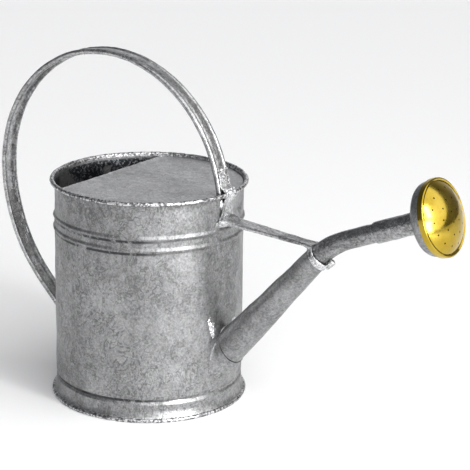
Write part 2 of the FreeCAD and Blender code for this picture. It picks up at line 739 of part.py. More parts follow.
def rose_back():
    """Grey cup behind the brass face, open to the socket."""
    bow = math.sqrt(0.5)

    def side(shift):
        flat = at(CUP_FLAT_R, shift)
        shoulder = at(CUP_SHOULDER_R - shift, CUP_SHOULDER_A)
        middle = at(flat.x + (shoulder.x - flat.x) * bow, flat.z + (shoulder.z - flat.z) * (1 - bow))
        return [arc(flat, middle, shoulder), line(shoulder, at(CUP_R - shift, CUP_A))]
    edges = side(0.0) + side(SHEET)
    edges.append(line(at(CUP_R, CUP_A), at(CUP_R - SHEET, CUP_A)))
    edges.append(line(at(CUP_NECK_R, 0), at(CUP_FLAT_R, 0)))
    edges.append(line(at(CUP_NECK_R, SHEET), at(CUP_FLAT_R, SHEET)))
    edges.append(line(at(CUP_NECK_R, 0), at(CUP_NECK_R, SHEET)))
    return placed_on_rose(revolved(Part.sortEdges(edges)[0]))


def dome_arc(shift):
    """Outside of the dome from the groove to the axis, as an arc of a sphere."""
    r = DOME_R
    a0 = FACE_GROOVE_A
    h = FACE_DOME_A - a0
    radius = (r * r + h * h) / (2 * h)
    middle_r = r / 2.0
    middle_a = FACE_DOME_A - radius + math.sqrt(radius ** 2 - middle_r ** 2)
    return arc(at(r, a0 - shift), at(middle_r, middle_a - shift), at(0, FACE_DOME_A - shift))


def rose_face():
    """Domed brass plate with a rolled rim, crimped over the cup and drilled."""
    t = FACE_SHEET
    round_r = (FACE_R + CREST_R) / 2.0 + 0.5
    round_a = FACE_CREST_A - 0.7
    edges = [line(at(FACE_R, FACE_SKIRT_A), at(FACE_R, FACE_RIM_A)),
             arc(at(FACE_R, FACE_RIM_A), at(round_r, round_a), at(CREST_R, FACE_CREST_A)),
             line(at(CREST_R, FACE_CREST_A), at(GROOVE_R, FACE_GROOVE_A)),
             line(at(GROOVE_R, FACE_GROOVE_A), at(DOME_R, FACE_GROOVE_A)),
             dome_arc(0.0),
             line(at(0, FACE_DOME_A), at(0, FACE_DOME_A - t)),
             dome_arc(t),
             line(at(DOME_R, FACE_GROOVE_A - t), at(GROOVE_R - t / 3, FACE_GROOVE_A - t)),
             line(at(GROOVE_R - t / 3, FACE_GROOVE_A - t), at(CREST_R, FACE_CREST_A - t)),
             arc(at(CREST_R, FACE_CREST_A - t), at(round_r - t * 0.75, round_a - t * 0.85),
                 at(FACE_R - t, FACE_RIM_A)),
             line(at(FACE_R - t, FACE_RIM_A), at(FACE_R - t, FACE_SKIRT_A)),
             line(at(FACE_R - t, FACE_SKIRT_A), at(FACE_R, FACE_SKIRT_A))]
    face = revolved(Part.sortEdges(edges)[0])
    holes = []
    for ring_r, count in HOLE_RINGS:
        for i in range(count):
            a = 2 * math.pi * (i + 0.5) / count
            base = V(ring_r * math.cos(a), ring_r * math.sin(a), FACE_SKIRT_A)
            holes.append(cylinder(HOLE_R, base, UP, FACE_DOME_A))
    return placed_on_rose(as_solid(face.cut(Part.makeCompound(holes))))


NODES = {
    "body_wall": body_wall,
    "rim_wire": rim_wire,
    "bottom_pan": bottom_pan,
    "hood": hood,
    "hood_wire": hood_wire,
    "handle": handle,
    "rear_rivets": rear_rivets,
    "front_rivet": front_rivet,
    "spout_cone": spout_cone,
    "spout_elbow": spout_elbow,
    "spout_boot": spout_boot,
    "spout_collar": spout_collar,
    "brace": brace,
    "rose_socket": rose_socket,
    "rose_back": rose_back,
    "rose_face": rose_face,
}

os.makedirs("parts", exist_ok=True)
for name, make in NODES.items():
    shape = make()
    print(name, "valid" if shape.isValid() else "INVALID", len(shape.Solids), round(shape.Volume, 1))
    shape.exportStep("parts/" + name + ".step")
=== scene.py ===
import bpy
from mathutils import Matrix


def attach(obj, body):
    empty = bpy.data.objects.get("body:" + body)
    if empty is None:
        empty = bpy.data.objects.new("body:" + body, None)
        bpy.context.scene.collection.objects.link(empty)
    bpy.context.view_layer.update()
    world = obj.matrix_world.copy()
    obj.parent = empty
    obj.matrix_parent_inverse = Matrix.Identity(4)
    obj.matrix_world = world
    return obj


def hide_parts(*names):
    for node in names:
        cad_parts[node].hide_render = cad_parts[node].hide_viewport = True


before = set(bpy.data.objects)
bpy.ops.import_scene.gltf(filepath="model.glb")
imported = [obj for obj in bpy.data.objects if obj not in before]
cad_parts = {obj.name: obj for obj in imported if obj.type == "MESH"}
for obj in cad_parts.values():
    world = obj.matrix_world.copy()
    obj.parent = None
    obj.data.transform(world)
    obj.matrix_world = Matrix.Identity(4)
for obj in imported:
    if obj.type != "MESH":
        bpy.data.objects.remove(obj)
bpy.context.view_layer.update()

import math

import bmesh
import bpy
import numpy as np
from mathutils import Matrix, Vector

# Hot-dip galvanised watering can with a brass rose.
# Sizes below are millimetres; +X runs along the spout, Z is up, and the symmetry plane is Y = 0.
MM = 0.001
PI = math.pi
SEED = 7

# Tank
BODY_R = 110.0
SHEET = 0.8
FOOT_H = 4.6
FOOT_OUT = 5.7
FLARE_OUT = 2.9
FLARE_TOP = 15.0
GROOVE_Z = 24.0
GROOVE_DEPTH = 1.7
BEADS_Z = (204.0, 218.0)
BEAD_H = 1.4
BEAD_HALF = 4.0
RIM_Z = 259.0
RIM_LEAN = 0.8
RIM_LEAN_H = 9.0
RIM_CURL_R = 2.6
WIRE_SIDE_R = 1.8
RIM_CURL_END = -95.0
SEAM_AT = math.radians(152.0)
OUTLET_R = 14.0
OUTLET_L = 60.0
OUTLET_BACK = 45.0  # how far the outlet's drill starts behind the cone

# Hood
HOOD_Z = 257.0
HOOD_R = BODY_R - SHEET - 0.05
HOOD_EDGE_X = -54.0
HOOD_HEM_R = 1.85
HOOD_FLANGE = 6.0
HOOD_MIDDLE_X = 20.0

# Handle
STRIP_W = 23.6
ROLL_R = 3.15
WEB_OUT = 2.4
WEB_T = 1.2
GRIP_TOP_Z = 401.3
FRONT_ARC_R = 163.3
REAR_ARC_R = 160.0
LOW_ARC_R = 196.0
HANDLE_LOW_Z = 53.6
PAD_LOW_Z = 29.0
PAD_T = 1.5
PAD_HALF_W = 11.5
PATH_STEP = 2.6
RIVET_Y = 6.0
RIVET_Z = 40.0
RIVET_HEAD = (3.4, 1.4)  # radius, height
RIVET_END = (3.2, 1.0)

# Spout
SPOUT_TILT = math.radians(48.6)
TIP_TILT = math.radians(22.6)
BEND = np.array([231.3, 0.0, 206.2])
BEND_R = 112.0
CONE_END_R = 13.3
CONE_TAPER = 0.0378
CONE_L = 174.5
LAP_L = 12.0
SPIGOT_R = 10.4
SPIGOT_L = 78.0
SEAM_LEAN = math.radians(15.0)
BOOT_FOOT_Z = 27.0
PRINT_HALF_W = 26.0
PRINT_OVER_ROOT = 13.4
PRINT_IN = 3.5
PRINT_POWER = 0.6
CLIP_TILT = math.radians(42.0)
CLIP_ALONG = 4.0
CLIP_R = 14.7
CLIP_HALF_W = 4.0
CLIP_T = 0.9
LUG_R = 4.0
ROOT_DEPOSITS = ((-22.5, 103.0, 5.5, 17.0, 1.8, 56, -3.0), (21.0, 96.0, 5.0, 9.0, 1.6, 60))

# Brace
BRACE_T = 1.2
BRACE_ROOT_HALF = 12.0
BRACE_TIP_HALF = 7.5
BRACE_ROOT_Z = 231.0
BRACE_DEPTH = 4.5
BRACE_TIP_DEPTH = 3.0
PLATE_LOW_Z = 222.2
PLATE_TOP_Z = 250.0
PLATE_LOW_HALF = 17.0
PLATE_TOP_HALF = 10.0
TONGUE_HALF = 9.0
TONGUE_TOP_Z = 285.0
TONGUE_RIVET_DOWN = 8.0
PLATE_DEPOSITS = ((-15.5, 226.0, 3.6, 3.6, 1.8, 90), (-9.0, 247.0, 3.2, 7.0, 1.5, 94))

# Rose
ROSE_TILT = math.radians(18.6)
SOCKET_START = 36.5
SOCKET_L = 66.6
SOCKET_R = 12.0
SOCKET_BORE = 10.45
CUP_R = 41.75


# ---- numbers on curves and grids ---------------------------------------

def heading(angle):
    """Unit vector in the symmetry plane at an angle up from +X: (cos, 0, sin)."""
    return np.array([math.cos(angle), 0.0, math.sin(angle)])


def unit(v):
    """Vectors divided by their own lengths."""
    return v / np.linalg.norm(v, axis=-1, keepdims=True)


def smooth(x, low, high):
    """Cubic step from 0 at low to 1 at high: 3t^2 - 2t^3."""
    t = np.clip((x - low) / (high - low), 0.0, 1.0)
    return t * t * (3.0 - 2.0 * t)


def hump(x, centre, half):
    """Raised cosine of height 1: cos^2 of the distance, zero beyond half."""
    t = np.clip(np.abs(x - centre) / half, 0.0, 1.0)
    return np.cos(0.5 * PI * t) ** 2


def waves(p, size, seed, count=20):
    """Sum of plane sine waves of random direction, about one wavelength `size`, with rms 1."""
    rng = np.random.default_rng(SEED * 1000 + seed)
    k = unit(rng.normal(size=(count, 3))) * rng.uniform(0.6, 1.7, (count, 1)) * 2 * PI / size
    phase = rng.uniform(0, 2 * PI, count)
    return np.sin(p @ k.T + phase).sum(-1) / math.sqrt(count / 2)


def around(r, z, angle):
    """Turn a profile (r, z) about the Z axis: x = r cos a, y = r sin a."""
    r, z, angle = np.broadcast_arrays(r, z, angle)
    return np.stack([r * np.cos(angle), r * np.sin(angle), z], -1)


def arc_points(centre, radius, start, end, count):
    """Points of a circular arc in a profile plane, angles in degrees."""
    a = np.radians(np.linspace(start, end, count))
    return np.stack([centre[0] + radius * np.cos(a), centre[1] + radius * np.sin(a)], -1)


def lathe(profile, base, axis, count):
    """Turn a closed profile (distance from the axis, distance along it) about a line through base."""
    side = np.array([0.0, 1.0, 0.0])
    over = np.cross(axis, side)
    a = np.linspace(0, 2 * PI, count, endpoint=False)
    ring = side * np.cos(a)[:, None] + over * np.sin(a)[:, None]
    return base + ring[:, None, :] * profile[None, :, :1] + axis * profile[None, :, 1:]


# ---- meshes ------------------------------------------------------------

def grid(points, loop_rows=False, loop_columns=False):
    """Vertices and quads of an (n, m, 3) array; a looped direction joins its last line to its first."""
    n, m = points.shape[:2]
    i = np.arange(n if loop_rows else n - 1)[:, None]
    j = np.arange(m if loop_columns else m - 1)[None, :]
    a = i * m + j
    b = (i + 1) % n * m + j
    c = (i + 1) % n * m + (j + 1) % m
    d = i * m + (j + 1) % m
    return points.reshape(-1, 3), np.stack([a, b, c, d], -1).reshape(-1, 4)


def capped(points):
    """Close a tube's two ends: each end ring is drawn in to its middle point."""
    first = np.broadcast_to(points[:1].mean(1, keepdims=True), points[:1].shape)
    last = np.broadcast_to(points[-1:].mean(1, keepdims=True), points[-1:].shape)
    return np.concatenate([first, points, last])


def build(name, shells, material, body="can", nodes=(), sharp=35.0, wall=0.0):
    """One object from several (vertices, quads) shells, in metres, welded, with normals outwards."""
    vertices = []
    faces = []
    total = 0
    for v, f in shells:
        vertices.append(v)
        faces.append(f + total)
        total += len(v)
    mesh = bpy.data.meshes.new(name)
    mesh.from_pydata((np.concatenate(vertices) * MM).tolist(), [], np.concatenate(faces).tolist())
    bm = bmesh.new()
    bm.from_mesh(mesh)
    bmesh.ops.remove_doubles(bm, verts=bm.verts, dist=1e-6)
    bmesh.ops.dissolve_degenerate(bm, edges=bm.edges, dist=1e-7)
    bmesh.ops.recalc_face_normals(bm, faces=bm.faces)
    bm.to_mesh(mesh)
    bm.free()
    mesh.shade_smooth()
    mesh.set_sharp_from_angle(angle=math.radians(sharp))
    mesh.materials.append(material)
    piece = bpy.data.objects.new(name, mesh)
    bpy.context.scene.collection.objects.link(piece)
    if wall:
        solid = piece.modifiers.new("wall", "SOLIDIFY")
        solid.thickness = wall * MM
        solid.offset = -1.0
    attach(piece, body)
    if nodes:
        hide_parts(*nodes)
    return piece


def cut(piece, shells):
    """Take closed shells away from a piece for good, with an exact boolean."""
    tool = build("cutter", shells, piece.data.materials[0])
    change = piece.modifiers.new("cut", "BOOLEAN")
    change.operation = "DIFFERENCE"
    change.solver = "EXACT"
    change.object = tool
    graph = bpy.context.evaluated_depsgraph_get()
    mesh = bpy.data.meshes.new_from_object(piece.evaluated_get(graph))
    piece.modifiers.clear()
    piece.data = mesh
    bpy.data.objects.remove(tool)
    return piece


# ---- tank --------------------------------------------------------------

def wall_radius(z):
    """Outer radius of the wall at a height: flare, swaged groove, two beads and a lean below the rim."""
    r = np.full_like(z, BODY_R)
    r += FLARE_OUT * np.clip((FLARE_TOP - z) / (FLARE_TOP - FOOT_H), 0.0, 1.0) ** 2
    r -= GROOVE_DEPTH * hump(z, GROOVE_Z, BEAD_HALF)
    for bead_z in BEADS_Z:
        r += BEAD_H * hump(z, bead_z, BEAD_HALF)
    return r + RIM_LEAN * np.clip((z - RIM_Z + RIM_LEAN_H) / RIM_LEAN_H, 0.0, 1.0) ** 2


def wall_heights():
    """Heights up the wall: close together at the foot, the groove, the beads and the rim, wide elsewhere."""
    stretches = [(FOOT_H, 31.0, 24), (34.0, 197.0, 42), (199.0, 223.0, 32),
                 (226.0, 249.0, 8), (250.5, RIM_Z, 8)]
    return np.concatenate([np.linspace(a, b, n) for a, b, n in stretches])


def wall_profile():
    """Closed outline (r, z): hem, outside of the sheet, rolled rim, inside of the sheet."""
    z = wall_heights()
    r = wall_radius(z)
    hem_in = BODY_R + FLARE_OUT - SHEET
    hem_out = BODY_R + FOOT_OUT
    curl = np.array([BODY_R + RIM_LEAN - SHEET + RIM_CURL_R, RIM_Z])
    corner = FOOT_H / 2
    hem = arc_points((hem_out - corner, corner), corner, -90, 90, 11)
    wire_side = arc_points(curl, WIRE_SIDE_R, 180, RIM_CURL_END, 20)
    roll = arc_points(curl, RIM_CURL_R, RIM_CURL_END, 180, 26)
    inside = np.stack([r - SHEET, z], -1)[::-1]
    foot = np.array([[hem_in, FOOT_H * 0.5], [hem_in, 0.0]])
    return np.concatenate([hem, np.stack([r, z], -1), wire_side, roll, inside, foot])


def wall_relief(r, z, angle):
    """Outward shift of the sheet: hand-rolled waviness, uneven beads and groove, and the lap seam."""
    p = around(r, z, angle)
    shift = 0.22 * waves(p, 75.0, 1) + 0.035 * waves(p, 16.0, 2)
    for number, bead_z in enumerate(BEADS_Z):
        shift += 0.16 * hump(z, bead_z, BEAD_HALF) * waves(p, 24.0, 3 + number)
    shift += 0.25 * hump(z, GROOVE_Z, BEAD_HALF) * waves(p, 30.0, 6)
    along = (angle - SEAM_AT) * BODY_R
    seam = smooth(along, 0.0, 0.7) * (1 - smooth(along, 9.0, 16.0))
    shift += (0.7 + 0.1 * waves(p, 14.0, 7)) * seam * smooth(z, 16.0, 22.0) * (1 - smooth(z, 246.0, 251.0))
    return shift * (1 - smooth(z, 251.0, 256.0)) * smooth(z, FOOT_H, 12.0)


def tank_wall():
    """Wall turned about the Z axis, r(z) + relief, with the opening that leads into the spout."""
    profile = wall_profile()
    angle = np.linspace(0, 2 * PI, 440, endpoint=False)[:, None]
    r = profile[None, :, 0]
    z = profile[None, :, 1]
    p = around(r, z, angle)
    out = around(1.0, 0.0, angle)
    p = p + out * wall_relief(r, z, angle)[..., None]
    rim = smooth(z, 255.0, 257.5) * np.ones_like(angle)
    crust = 0.10 * waves(p, 7.0, 8) + 0.14 * waves(p, 26.0, 9)
    p[..., 2] += rim * crust - rim * 0.2
    p += out * (rim * 0.08 * waves(p, 9.0, 10))[..., None]
    foot = 1 - smooth(z, FOOT_H, 9.0) * np.ones_like(angle)
    p -= out * (foot * np.abs(0.12 * waves(p, 12.0, 11)))[..., None]
    wall = build("tank_wall", [grid(p, True, True)], zinc_wall, nodes=["body_wall"])
    start = BEND - SPOUT_AXIS * (CONE_L + OUTLET_BACK)
    drill = np.array([[0.0, 0.0], [OUTLET_R, 0.0], [OUTLET_R, OUTLET_L], [0.0, OUTLET_L]])
    return cut(wall, [grid(lathe(drill, start, SPOUT_AXIS, 48), True, False)])


# ---- hood --------------------------------------------------------------

def hood_edge(angle):
    """Distance from the hood's middle point to its outline: the wall's circle, or the straight free edge."""
    dx = np.cos(angle)
    b = HOOD_MIDDLE_X * dx
    circle = -b + np.sqrt(b * b + HOOD_R ** 2 - HOOD_MIDDLE_X ** 2)
    straight = np.where(dx < -1e-6, (HOOD_EDGE_X - HOOD_MIDDLE_X) / np.minimum(dx, -1e-6), 1e9)
    return circle, straight


def hood_sheet():
    """Polar sheet from a middle point out to the outline, turned down along the wall, with low dents."""
    corner_y = math.sqrt(HOOD_R ** 2 - HOOD_EDGE_X ** 2)
    corner = math.atan2(corner_y, HOOD_EDGE_X - HOOD_MIDDLE_X)
    angle = np.concatenate([np.linspace(-corner, corner, 150)[:-1],
                            np.linspace(corner, 2 * PI - corner, 70)[:-1]])
    circle, straight = hood_edge(angle)
    reach = np.minimum(circle, straight)
    round_side = (circle <= straight + 1e-6)
    share = np.concatenate([np.linspace(0, 0.97, 44), [0.985, 0.995]])[:, None]
    x = HOOD_MIDDLE_X + share * reach * np.cos(angle)
    y = share * reach * np.sin(angle)
    edge = 1 - smooth(reach * (1 - share), 0.0, 14.0)
    p = np.stack([x, y, np.full_like(x, HOOD_Z)], -1)
    dents = 0.35 * waves(p, 70.0, 20) + 0.07 * waves(p, 15.0, 21)
    p[..., 2] += dents * (1 - edge) - 0.6 * (1 - edge) - 0.25 * edge * round_side
    rim = p[-1:].copy()
    rim[..., 0] = HOOD_MIDDLE_X + reach * np.cos(angle)
    rim[..., 1] = reach * np.sin(angle)
    down = rim.copy()
    rim[..., 2] -= np.where(round_side, 0.7, 0.0)
    down[..., 2] -= np.where(round_side, HOOD_FLANGE, 0.4)
    p = np.concatenate([p, rim, down])
    return build("hood_sheet", [grid(p, False, True)], zinc_flat, nodes=["hood"], wall=SHEET)


def tube_along(path, normal, radius, count=16):
    """Round tube along a path; normal is square to it, radius may change along it."""
    tangent = unit(np.gradient(path, axis=0))
    across = unit(np.cross(tangent, normal))
    up = np.cross(across, tangent)
    a = np.linspace(0, 2 * PI, count, endpoint=False)
    ring = across[:, None, :] * np.cos(a)[None, :, None] + up[:, None, :] * np.sin(a)[None, :, None]
    size = np.broadcast_to(np.asarray(radius, float), (len(path),))
    return path[:, None, :] + ring * size[:, None, None]


def hood_hem():
    """Rolled free edge of the hood with hardened drops of zinc along it."""
    y = np.linspace(-1, 1, 110) * (math.sqrt(HOOD_R ** 2 - HOOD_EDGE_X ** 2) - 0.4)
    path = np.stack([np.full_like(y, HOOD_EDGE_X), y, np.full_like(y, HOOD_Z + 0.6 - HOOD_HEM_R)], -1)
    path[:, 0] += 0.25 * waves(path, 60.0, 22)
    radius = HOOD_HEM_R + 0.22 * np.clip(waves(path, 9.0, 23), -0.5, 2.2)
    roll = tube_along(path, np.array([0, 0, 1.0]), radius)
    return build("hood_hem", [grid(capped(roll), False, True)], zinc_bright)


# ---- handle ------------------------------------------------------------

def handle_geometry():
    """Centres of the three arcs, the front end's angle and the lower arc's turn, as tangency gives them."""
    front_rise = HOOD_Z - (GRIP_TOP_Z - FRONT_ARC_R)
    front_x = BODY_R - SHEET - 0.3 - ROLL_R
    grip_x = front_x - math.sqrt(FRONT_ARC_R ** 2 - front_rise ** 2)
    front = np.array([grip_x, 0.0, GRIP_TOP_Z - FRONT_ARC_R])
    rear = np.array([grip_x, 0.0, GRIP_TOP_Z - REAR_ARC_R])
    low = rear + np.array([LOW_ARC_R - REAR_ARC_R, 0.0, 0.0])
    to_pad = np.array([-BODY_R, 0.0, HANDLE_LOW_Z]) - low
    seen = math.atan2(-to_pad[2], -to_pad[0])
    turn = seen - math.acos(LOW_ARC_R / np.linalg.norm(to_pad))
    return front, rear, low, math.asin(front_rise / FRONT_ARC_R), turn


def arc_path(centre, radius, start, end, step=PATH_STEP):
    """Points of an arc in the symmetry plane, centre + radius (cos a, 0, sin a), about a step apart."""
    count = max(4, int(abs(end - start) * radius / step))
    a = np.linspace(start, end, count)
    return centre + radius * np.stack([np.cos(a), np.zeros_like(a), np.sin(a)], -1)


def handle_path():
    """Centre line from the hood over the top and down to the pad, with a small bend onto the wall."""
    front, rear, low, start, turn = handle_geometry()
    parts = [arc_path(front, FRONT_ARC_R, start, PI / 2), arc_path(rear, REAR_ARC_R, PI / 2, PI)[1:]]
    lower = arc_path(low, LOW_ARC_R, PI, PI + turn)[1:]
    run = heading(PI + turn - PI / 2) * -1.0
    wall_x = -BODY_R - PAD_T / 2
    corner = lower[-1] + run * ((wall_x - lower[-1][0]) / run[0])
    bend_r = 9.0
    half = 0.5 * math.acos(np.dot(run, np.array([0, 0, -1.0])))
    setback = bend_r * math.tan(half)
    begin = corner - run * setback
    count = max(3, int(np.linalg.norm(begin - lower[-1]) / PATH_STEP))
    straight = lower[-1] + (begin - lower[-1]) * np.linspace(0, 1, count)[1:, None]
    t = np.linspace(0, 1, 9)[1:, None]
    finish = corner + np.array([0, 0, -setback])
    bend = begin * (1 - t) ** 2 + corner * 2 * t * (1 - t) + finish * t ** 2
    down = finish + (np.array([wall_x, 0, PAD_LOW_Z]) - finish) * np.linspace(0, 1, 16)[1:, None]
    return np.concatenate(parts + [lower, straight, bend, down])


def strip_section(flat):
    """Section (y, outward) of the strip: a web between two rolled edges, pressed flat as `flat` goes to 1."""
    yc = STRIP_W / 2 - ROLL_R
    crease = 0.55
    y_web = np.linspace(-yc + ROLL_R * 0.75, yc - ROLL_R * 0.75, 11)
    a = np.radians(np.linspace(128, -128, 23))
    right = np.stack([yc + ROLL_R * np.cos(a), ROLL_R * np.sin(a)], -1)
    outer = np.stack([y_web, WEB_OUT - crease * smooth(np.abs(y_web), yc - 6.0, yc - 2.4)], -1)
    inner = np.stack([y_web[::-1], np.full_like(y_web, WEB_OUT - WEB_T - crease)], -1)
    left = right[::-1] * np.array([-1.0, 1.0])
    section = np.concatenate([outer, right, inner, left])
    sign = np.where(np.arange(len(section)) < len(outer), 1.0, -1.0)
    sign[len(outer):len(outer) + len(right)] = np.sin(a)
    sign[-len(left):] = np.sin(a[::-1])
    pressed = np.stack([section[:, 0] * (PAD_HALF_W / (STRIP_W / 2)),
                        np.clip(sign * 1.6, -1, 1) * PAD_T / 2], -1)
    return section * (1 - flat[:, None, None]) + pressed * flat[:, None, None]


def handle_strip():
    """The section carried along the path; the last stretch is pressed flat and curved to the wall."""
    path = handle_path()
    tangent = unit(np.gradient(path, axis=0))
    outward = np.stack([tangent[:, 2], np.zeros(len(path)), -tangent[:, 0]], -1)
    length = np.concatenate([[0], np.cumsum(np.linalg.norm(np.diff(path, axis=0), axis=1))])
    left = length[-1] - length
    flat = 1 - smooth(left, 30.0, 58.0)
    section = strip_section(flat)
    end = np.sqrt(np.clip(1 - np.clip(1 - left / 5.0, 0, 1) ** 2, 0.02, 1))
    y = section[..., 0] * end[:, None]
    n = section[..., 1] * np.where(left < 0.5, 0.6, 1.0)[:, None]
    p = path[:, None, :] + outward[:, None, :] * n[..., None]
    p[..., 1] += y
    wall_bow = BODY_R - np.sqrt(BODY_R ** 2 - y ** 2)
    p[..., 0] += wall_bow * (1 - smooth(left, 22.0, 34.0))[:, None]
    bump = 0.06 * waves(p, 11.0, 30) + 0.12 * waves(p, 45.0, 31) - 0.28
    p += outward[:, None, :] * (bump * (0.25 + 0.75 * smooth(left, 20, 60))[:, None])[..., None]
    return build("handle_strip", [grid(capped(p), False, True)], zinc_handle, nodes=["handle"], sharp=50)


def domed_head(base, axis, radius, height, count=24):
    """Rivet head: a flattened dome, radius (1 - t^2.4)^0.5 at a share t of its height, set 0.4 deep."""
    t = np.linspace(0, 1, 8)
    profile = np.stack([radius * np.sqrt(1 - t ** 2.4), height * t], -1)
    profile = np.concatenate([[[0.0, -0.4]], [[radius, -0.4]], profile])
    return grid(lathe(profile, base, axis, count), True, False)


def rivets():
    """The two rivets through the pad: domed heads outside, lower ones inside the tank."""
    shells = []
    for y in (-RIVET_Y, RIVET_Y):
        face = math.sqrt((BODY_R + PAD_T) ** 2 - y ** 2)
        inner = math.sqrt((BODY_R - SHEET) ** 2 - y ** 2)
        shells.append(domed_head(np.array([-face, y, RIVET_Z]), np.array([-1.0, 0, 0]), *RIVET_HEAD))
        shells.append(domed_head(np.array([-inner, y, RIVET_Z]), np.array([1.0, 0, 0]), *RIVET_END))
    build("pad_rivets", shells, zinc_bright, nodes=["rear_rivets"])


# ---- spout -------------------------------------------------------------

SPOUT_AXIS = heading(SPOUT_TILT)
TIP_AXIS = heading(TIP_TILT)
SIDE = np.array([0.0, 1.0, 0.0])
BEND_CENTRE = BEND + heading(SPOUT_TILT - PI / 2) * BEND_R
BEND_END = BEND_CENTRE + heading(TIP_TILT + PI / 2) * BEND_R


def cone_radius(back):
    """Outer radius of the lower tube, growing evenly with the distance before the bend."""
    return CONE_END_R + CONE_TAPER * back


def ring(angle, axis):
    """Unit vectors round an axis in the symmetry plane, from the side (0) over the top (pi/2)."""
    over = np.cross(axis, SIDE)
    return SIDE * np.cos(angle)[..., None] + over * np.sin(angle)[..., None]


def first_outside(point, low, high, radius):
    """Bisect for the parameter at which point(t) crosses the tank's cylinder, going outwards."""
    low = np.array(low, float)
    high = np.array(high, float)
    for _ in range(40):
        middle = (low + high) / 2
        p = point(middle)
        inside = np.hypot(p[..., 0], p[..., 1]) < radius
        low = np.where(inside, middle, low)
        high = np.where(inside, high, middle)
    return high


def lap_seam(angle, at, height, width):
    """Longitudinal lap round a tube: a sharp step up at one edge that fades away over `width` radians."""
    turn = np.mod(angle - at, 2 * PI)
    return height * smooth(turn, 0.0, 0.05) * (1 - smooth(turn, 0.35 * width, width))


SEAM_FACE = heading(SPOUT_TILT - SEAM_LEAN)
SPOUT_OVER = heading(SPOUT_TILT + PI / 2)
SEAM_FOOT = BEND - SPOUT_AXIS * CONE_L - SPOUT_OVER * cone_radius(CONE_L)


def seam_back(angle):
    """How far before the bend the lower tube's line at an angle meets the boot's leaning seam."""
    out = ring(angle, SPOUT_AXIS)
    start = BEND + out * CONE_END_R
    fall = out * CONE_TAPER - SPOUT_AXIS
    return ((SEAM_FOOT - start) @ SEAM_FACE) / (fall @ SEAM_FACE)


def on_cone(angle, back):
    """Point of the lower tube at an angle round it and a distance before the bend."""
    return BEND - SPOUT_AXIS * back[..., None] + ring(angle, SPOUT_AXIS) * cone_radius(back)[..., None]


def cone_foot(angle, radius):
    """Distance before the bend at which each line of the lower tube ends, at the seam or at the wall."""
    seam = seam_back(angle)
    p = on_cone(angle, seam)
    buried = np.hypot(p[..., 0], p[..., 1]) < radius
    at_wall = -first_outside(lambda t: on_cone(angle, -t), -seam, 0 * seam, radius)
    return np.where(buried, at_wall, seam), buried


def spout_lower():
    """Cone from the boot's seam, or from the wall above it, up to the clip; double-walled."""
    angle = np.linspace(0, 2 * PI, 120, endpoint=False)
    start, _ = cone_foot(angle, BODY_R - 0.5)
    share = np.linspace(0, 1, 90)[:, None]
    back = start * (1 - share)
    a = np.broadcast_to(angle, back.shape)
    outer = on_cone(a, back)
    shift = 0.22 * waves(outer, 55.0, 40) + 0.04 * waves(outer, 13.0, 41) + lap_seam(a, -1.9, 0.3, 1.1)
    outer = outer + ring(a, SPOUT_AXIS) * (shift * smooth(share, 0.0, 0.05))[..., None]
    inner = outer - ring(a, SPOUT_AXIS) * SHEET
    return build("spout_lower", [grid(np.concatenate([outer, inner[::-1]]), True, True)], zinc_spout,
                 nodes=["spout_cone"])


def spout_upper():
    """Lap, bend and straight tip: circles along the centre line, radius falling round the bend."""
    lap_rows, bend_rows, tip_rows = 8, 45, 43
    lap = BEND - SPOUT_AXIS * np.linspace(LAP_L, 0, lap_rows)[:, None]
    turn = np.linspace(SPOUT_TILT, TIP_TILT, bend_rows + 1)[1:]
    bend = BEND_CENTRE + BEND_R * np.stack([np.cos(turn + PI / 2), 0 * turn, np.sin(turn + PI / 2)], -1)
    tip = BEND_END + TIP_AXIS * np.linspace(0, SPIGOT_L, tip_rows + 1)[1:, None]
    path = np.concatenate([lap, bend, tip])
    axis = np.concatenate([np.tile(SPOUT_AXIS, (lap_rows, 1)),
                           np.stack([np.cos(turn), 0 * turn, np.sin(turn)], -1),
                           np.tile(TIP_AXIS, (tip_rows, 1))])
    lap_r = CONE_END_R - SHEET - 0.05
    radius = np.concatenate([np.full(lap_rows, lap_r), np.linspace(lap_r, SPIGOT_R, bend_rows + 1)[1:],
                             np.full(tip_rows, SPIGOT_R)])
    angle = np.linspace(0, 2 * PI, 72, endpoint=False)
    over = np.cross(axis, SIDE)
    out = SIDE * np.cos(angle)[None, :, None] + over[:, None, :] * np.sin(angle)[None, :, None]
    outer = path[:, None, :] + out * radius[:, None, None]
    row = np.arange(len(path))[:, None]
    sleeve_rows = (66, 70)
    free = smooth(row, lap_rows, 2 * lap_rows) * (1 - smooth(row, *sleeve_rows))
    shift = (0.14 * waves(outer, 38.0, 42) + 0.03 * waves(outer, 10.0, 43)) * free
    shift = shift + lap_seam(angle[None, :], 1.15, 0.3, 1.0) * free
    outer = outer + out * shift[..., None]
    inner = outer - out * SHEET
    return build("spout_upper", [grid(np.concatenate([outer, inner[::-1]]), True, True)], zinc_tip,
                 nodes=["spout_elbow"])


def superellipse(turn):
    """Squarish oval within -1..1, as (across, up): cosine and sine raised to a power, signs kept."""
    c, n = np.cos(turn), np.sin(turn)
    return np.stack([np.sign(c) * np.abs(c) ** PRINT_POWER, np.sign(n) * np.abs(n) ** PRINT_POWER], -1)


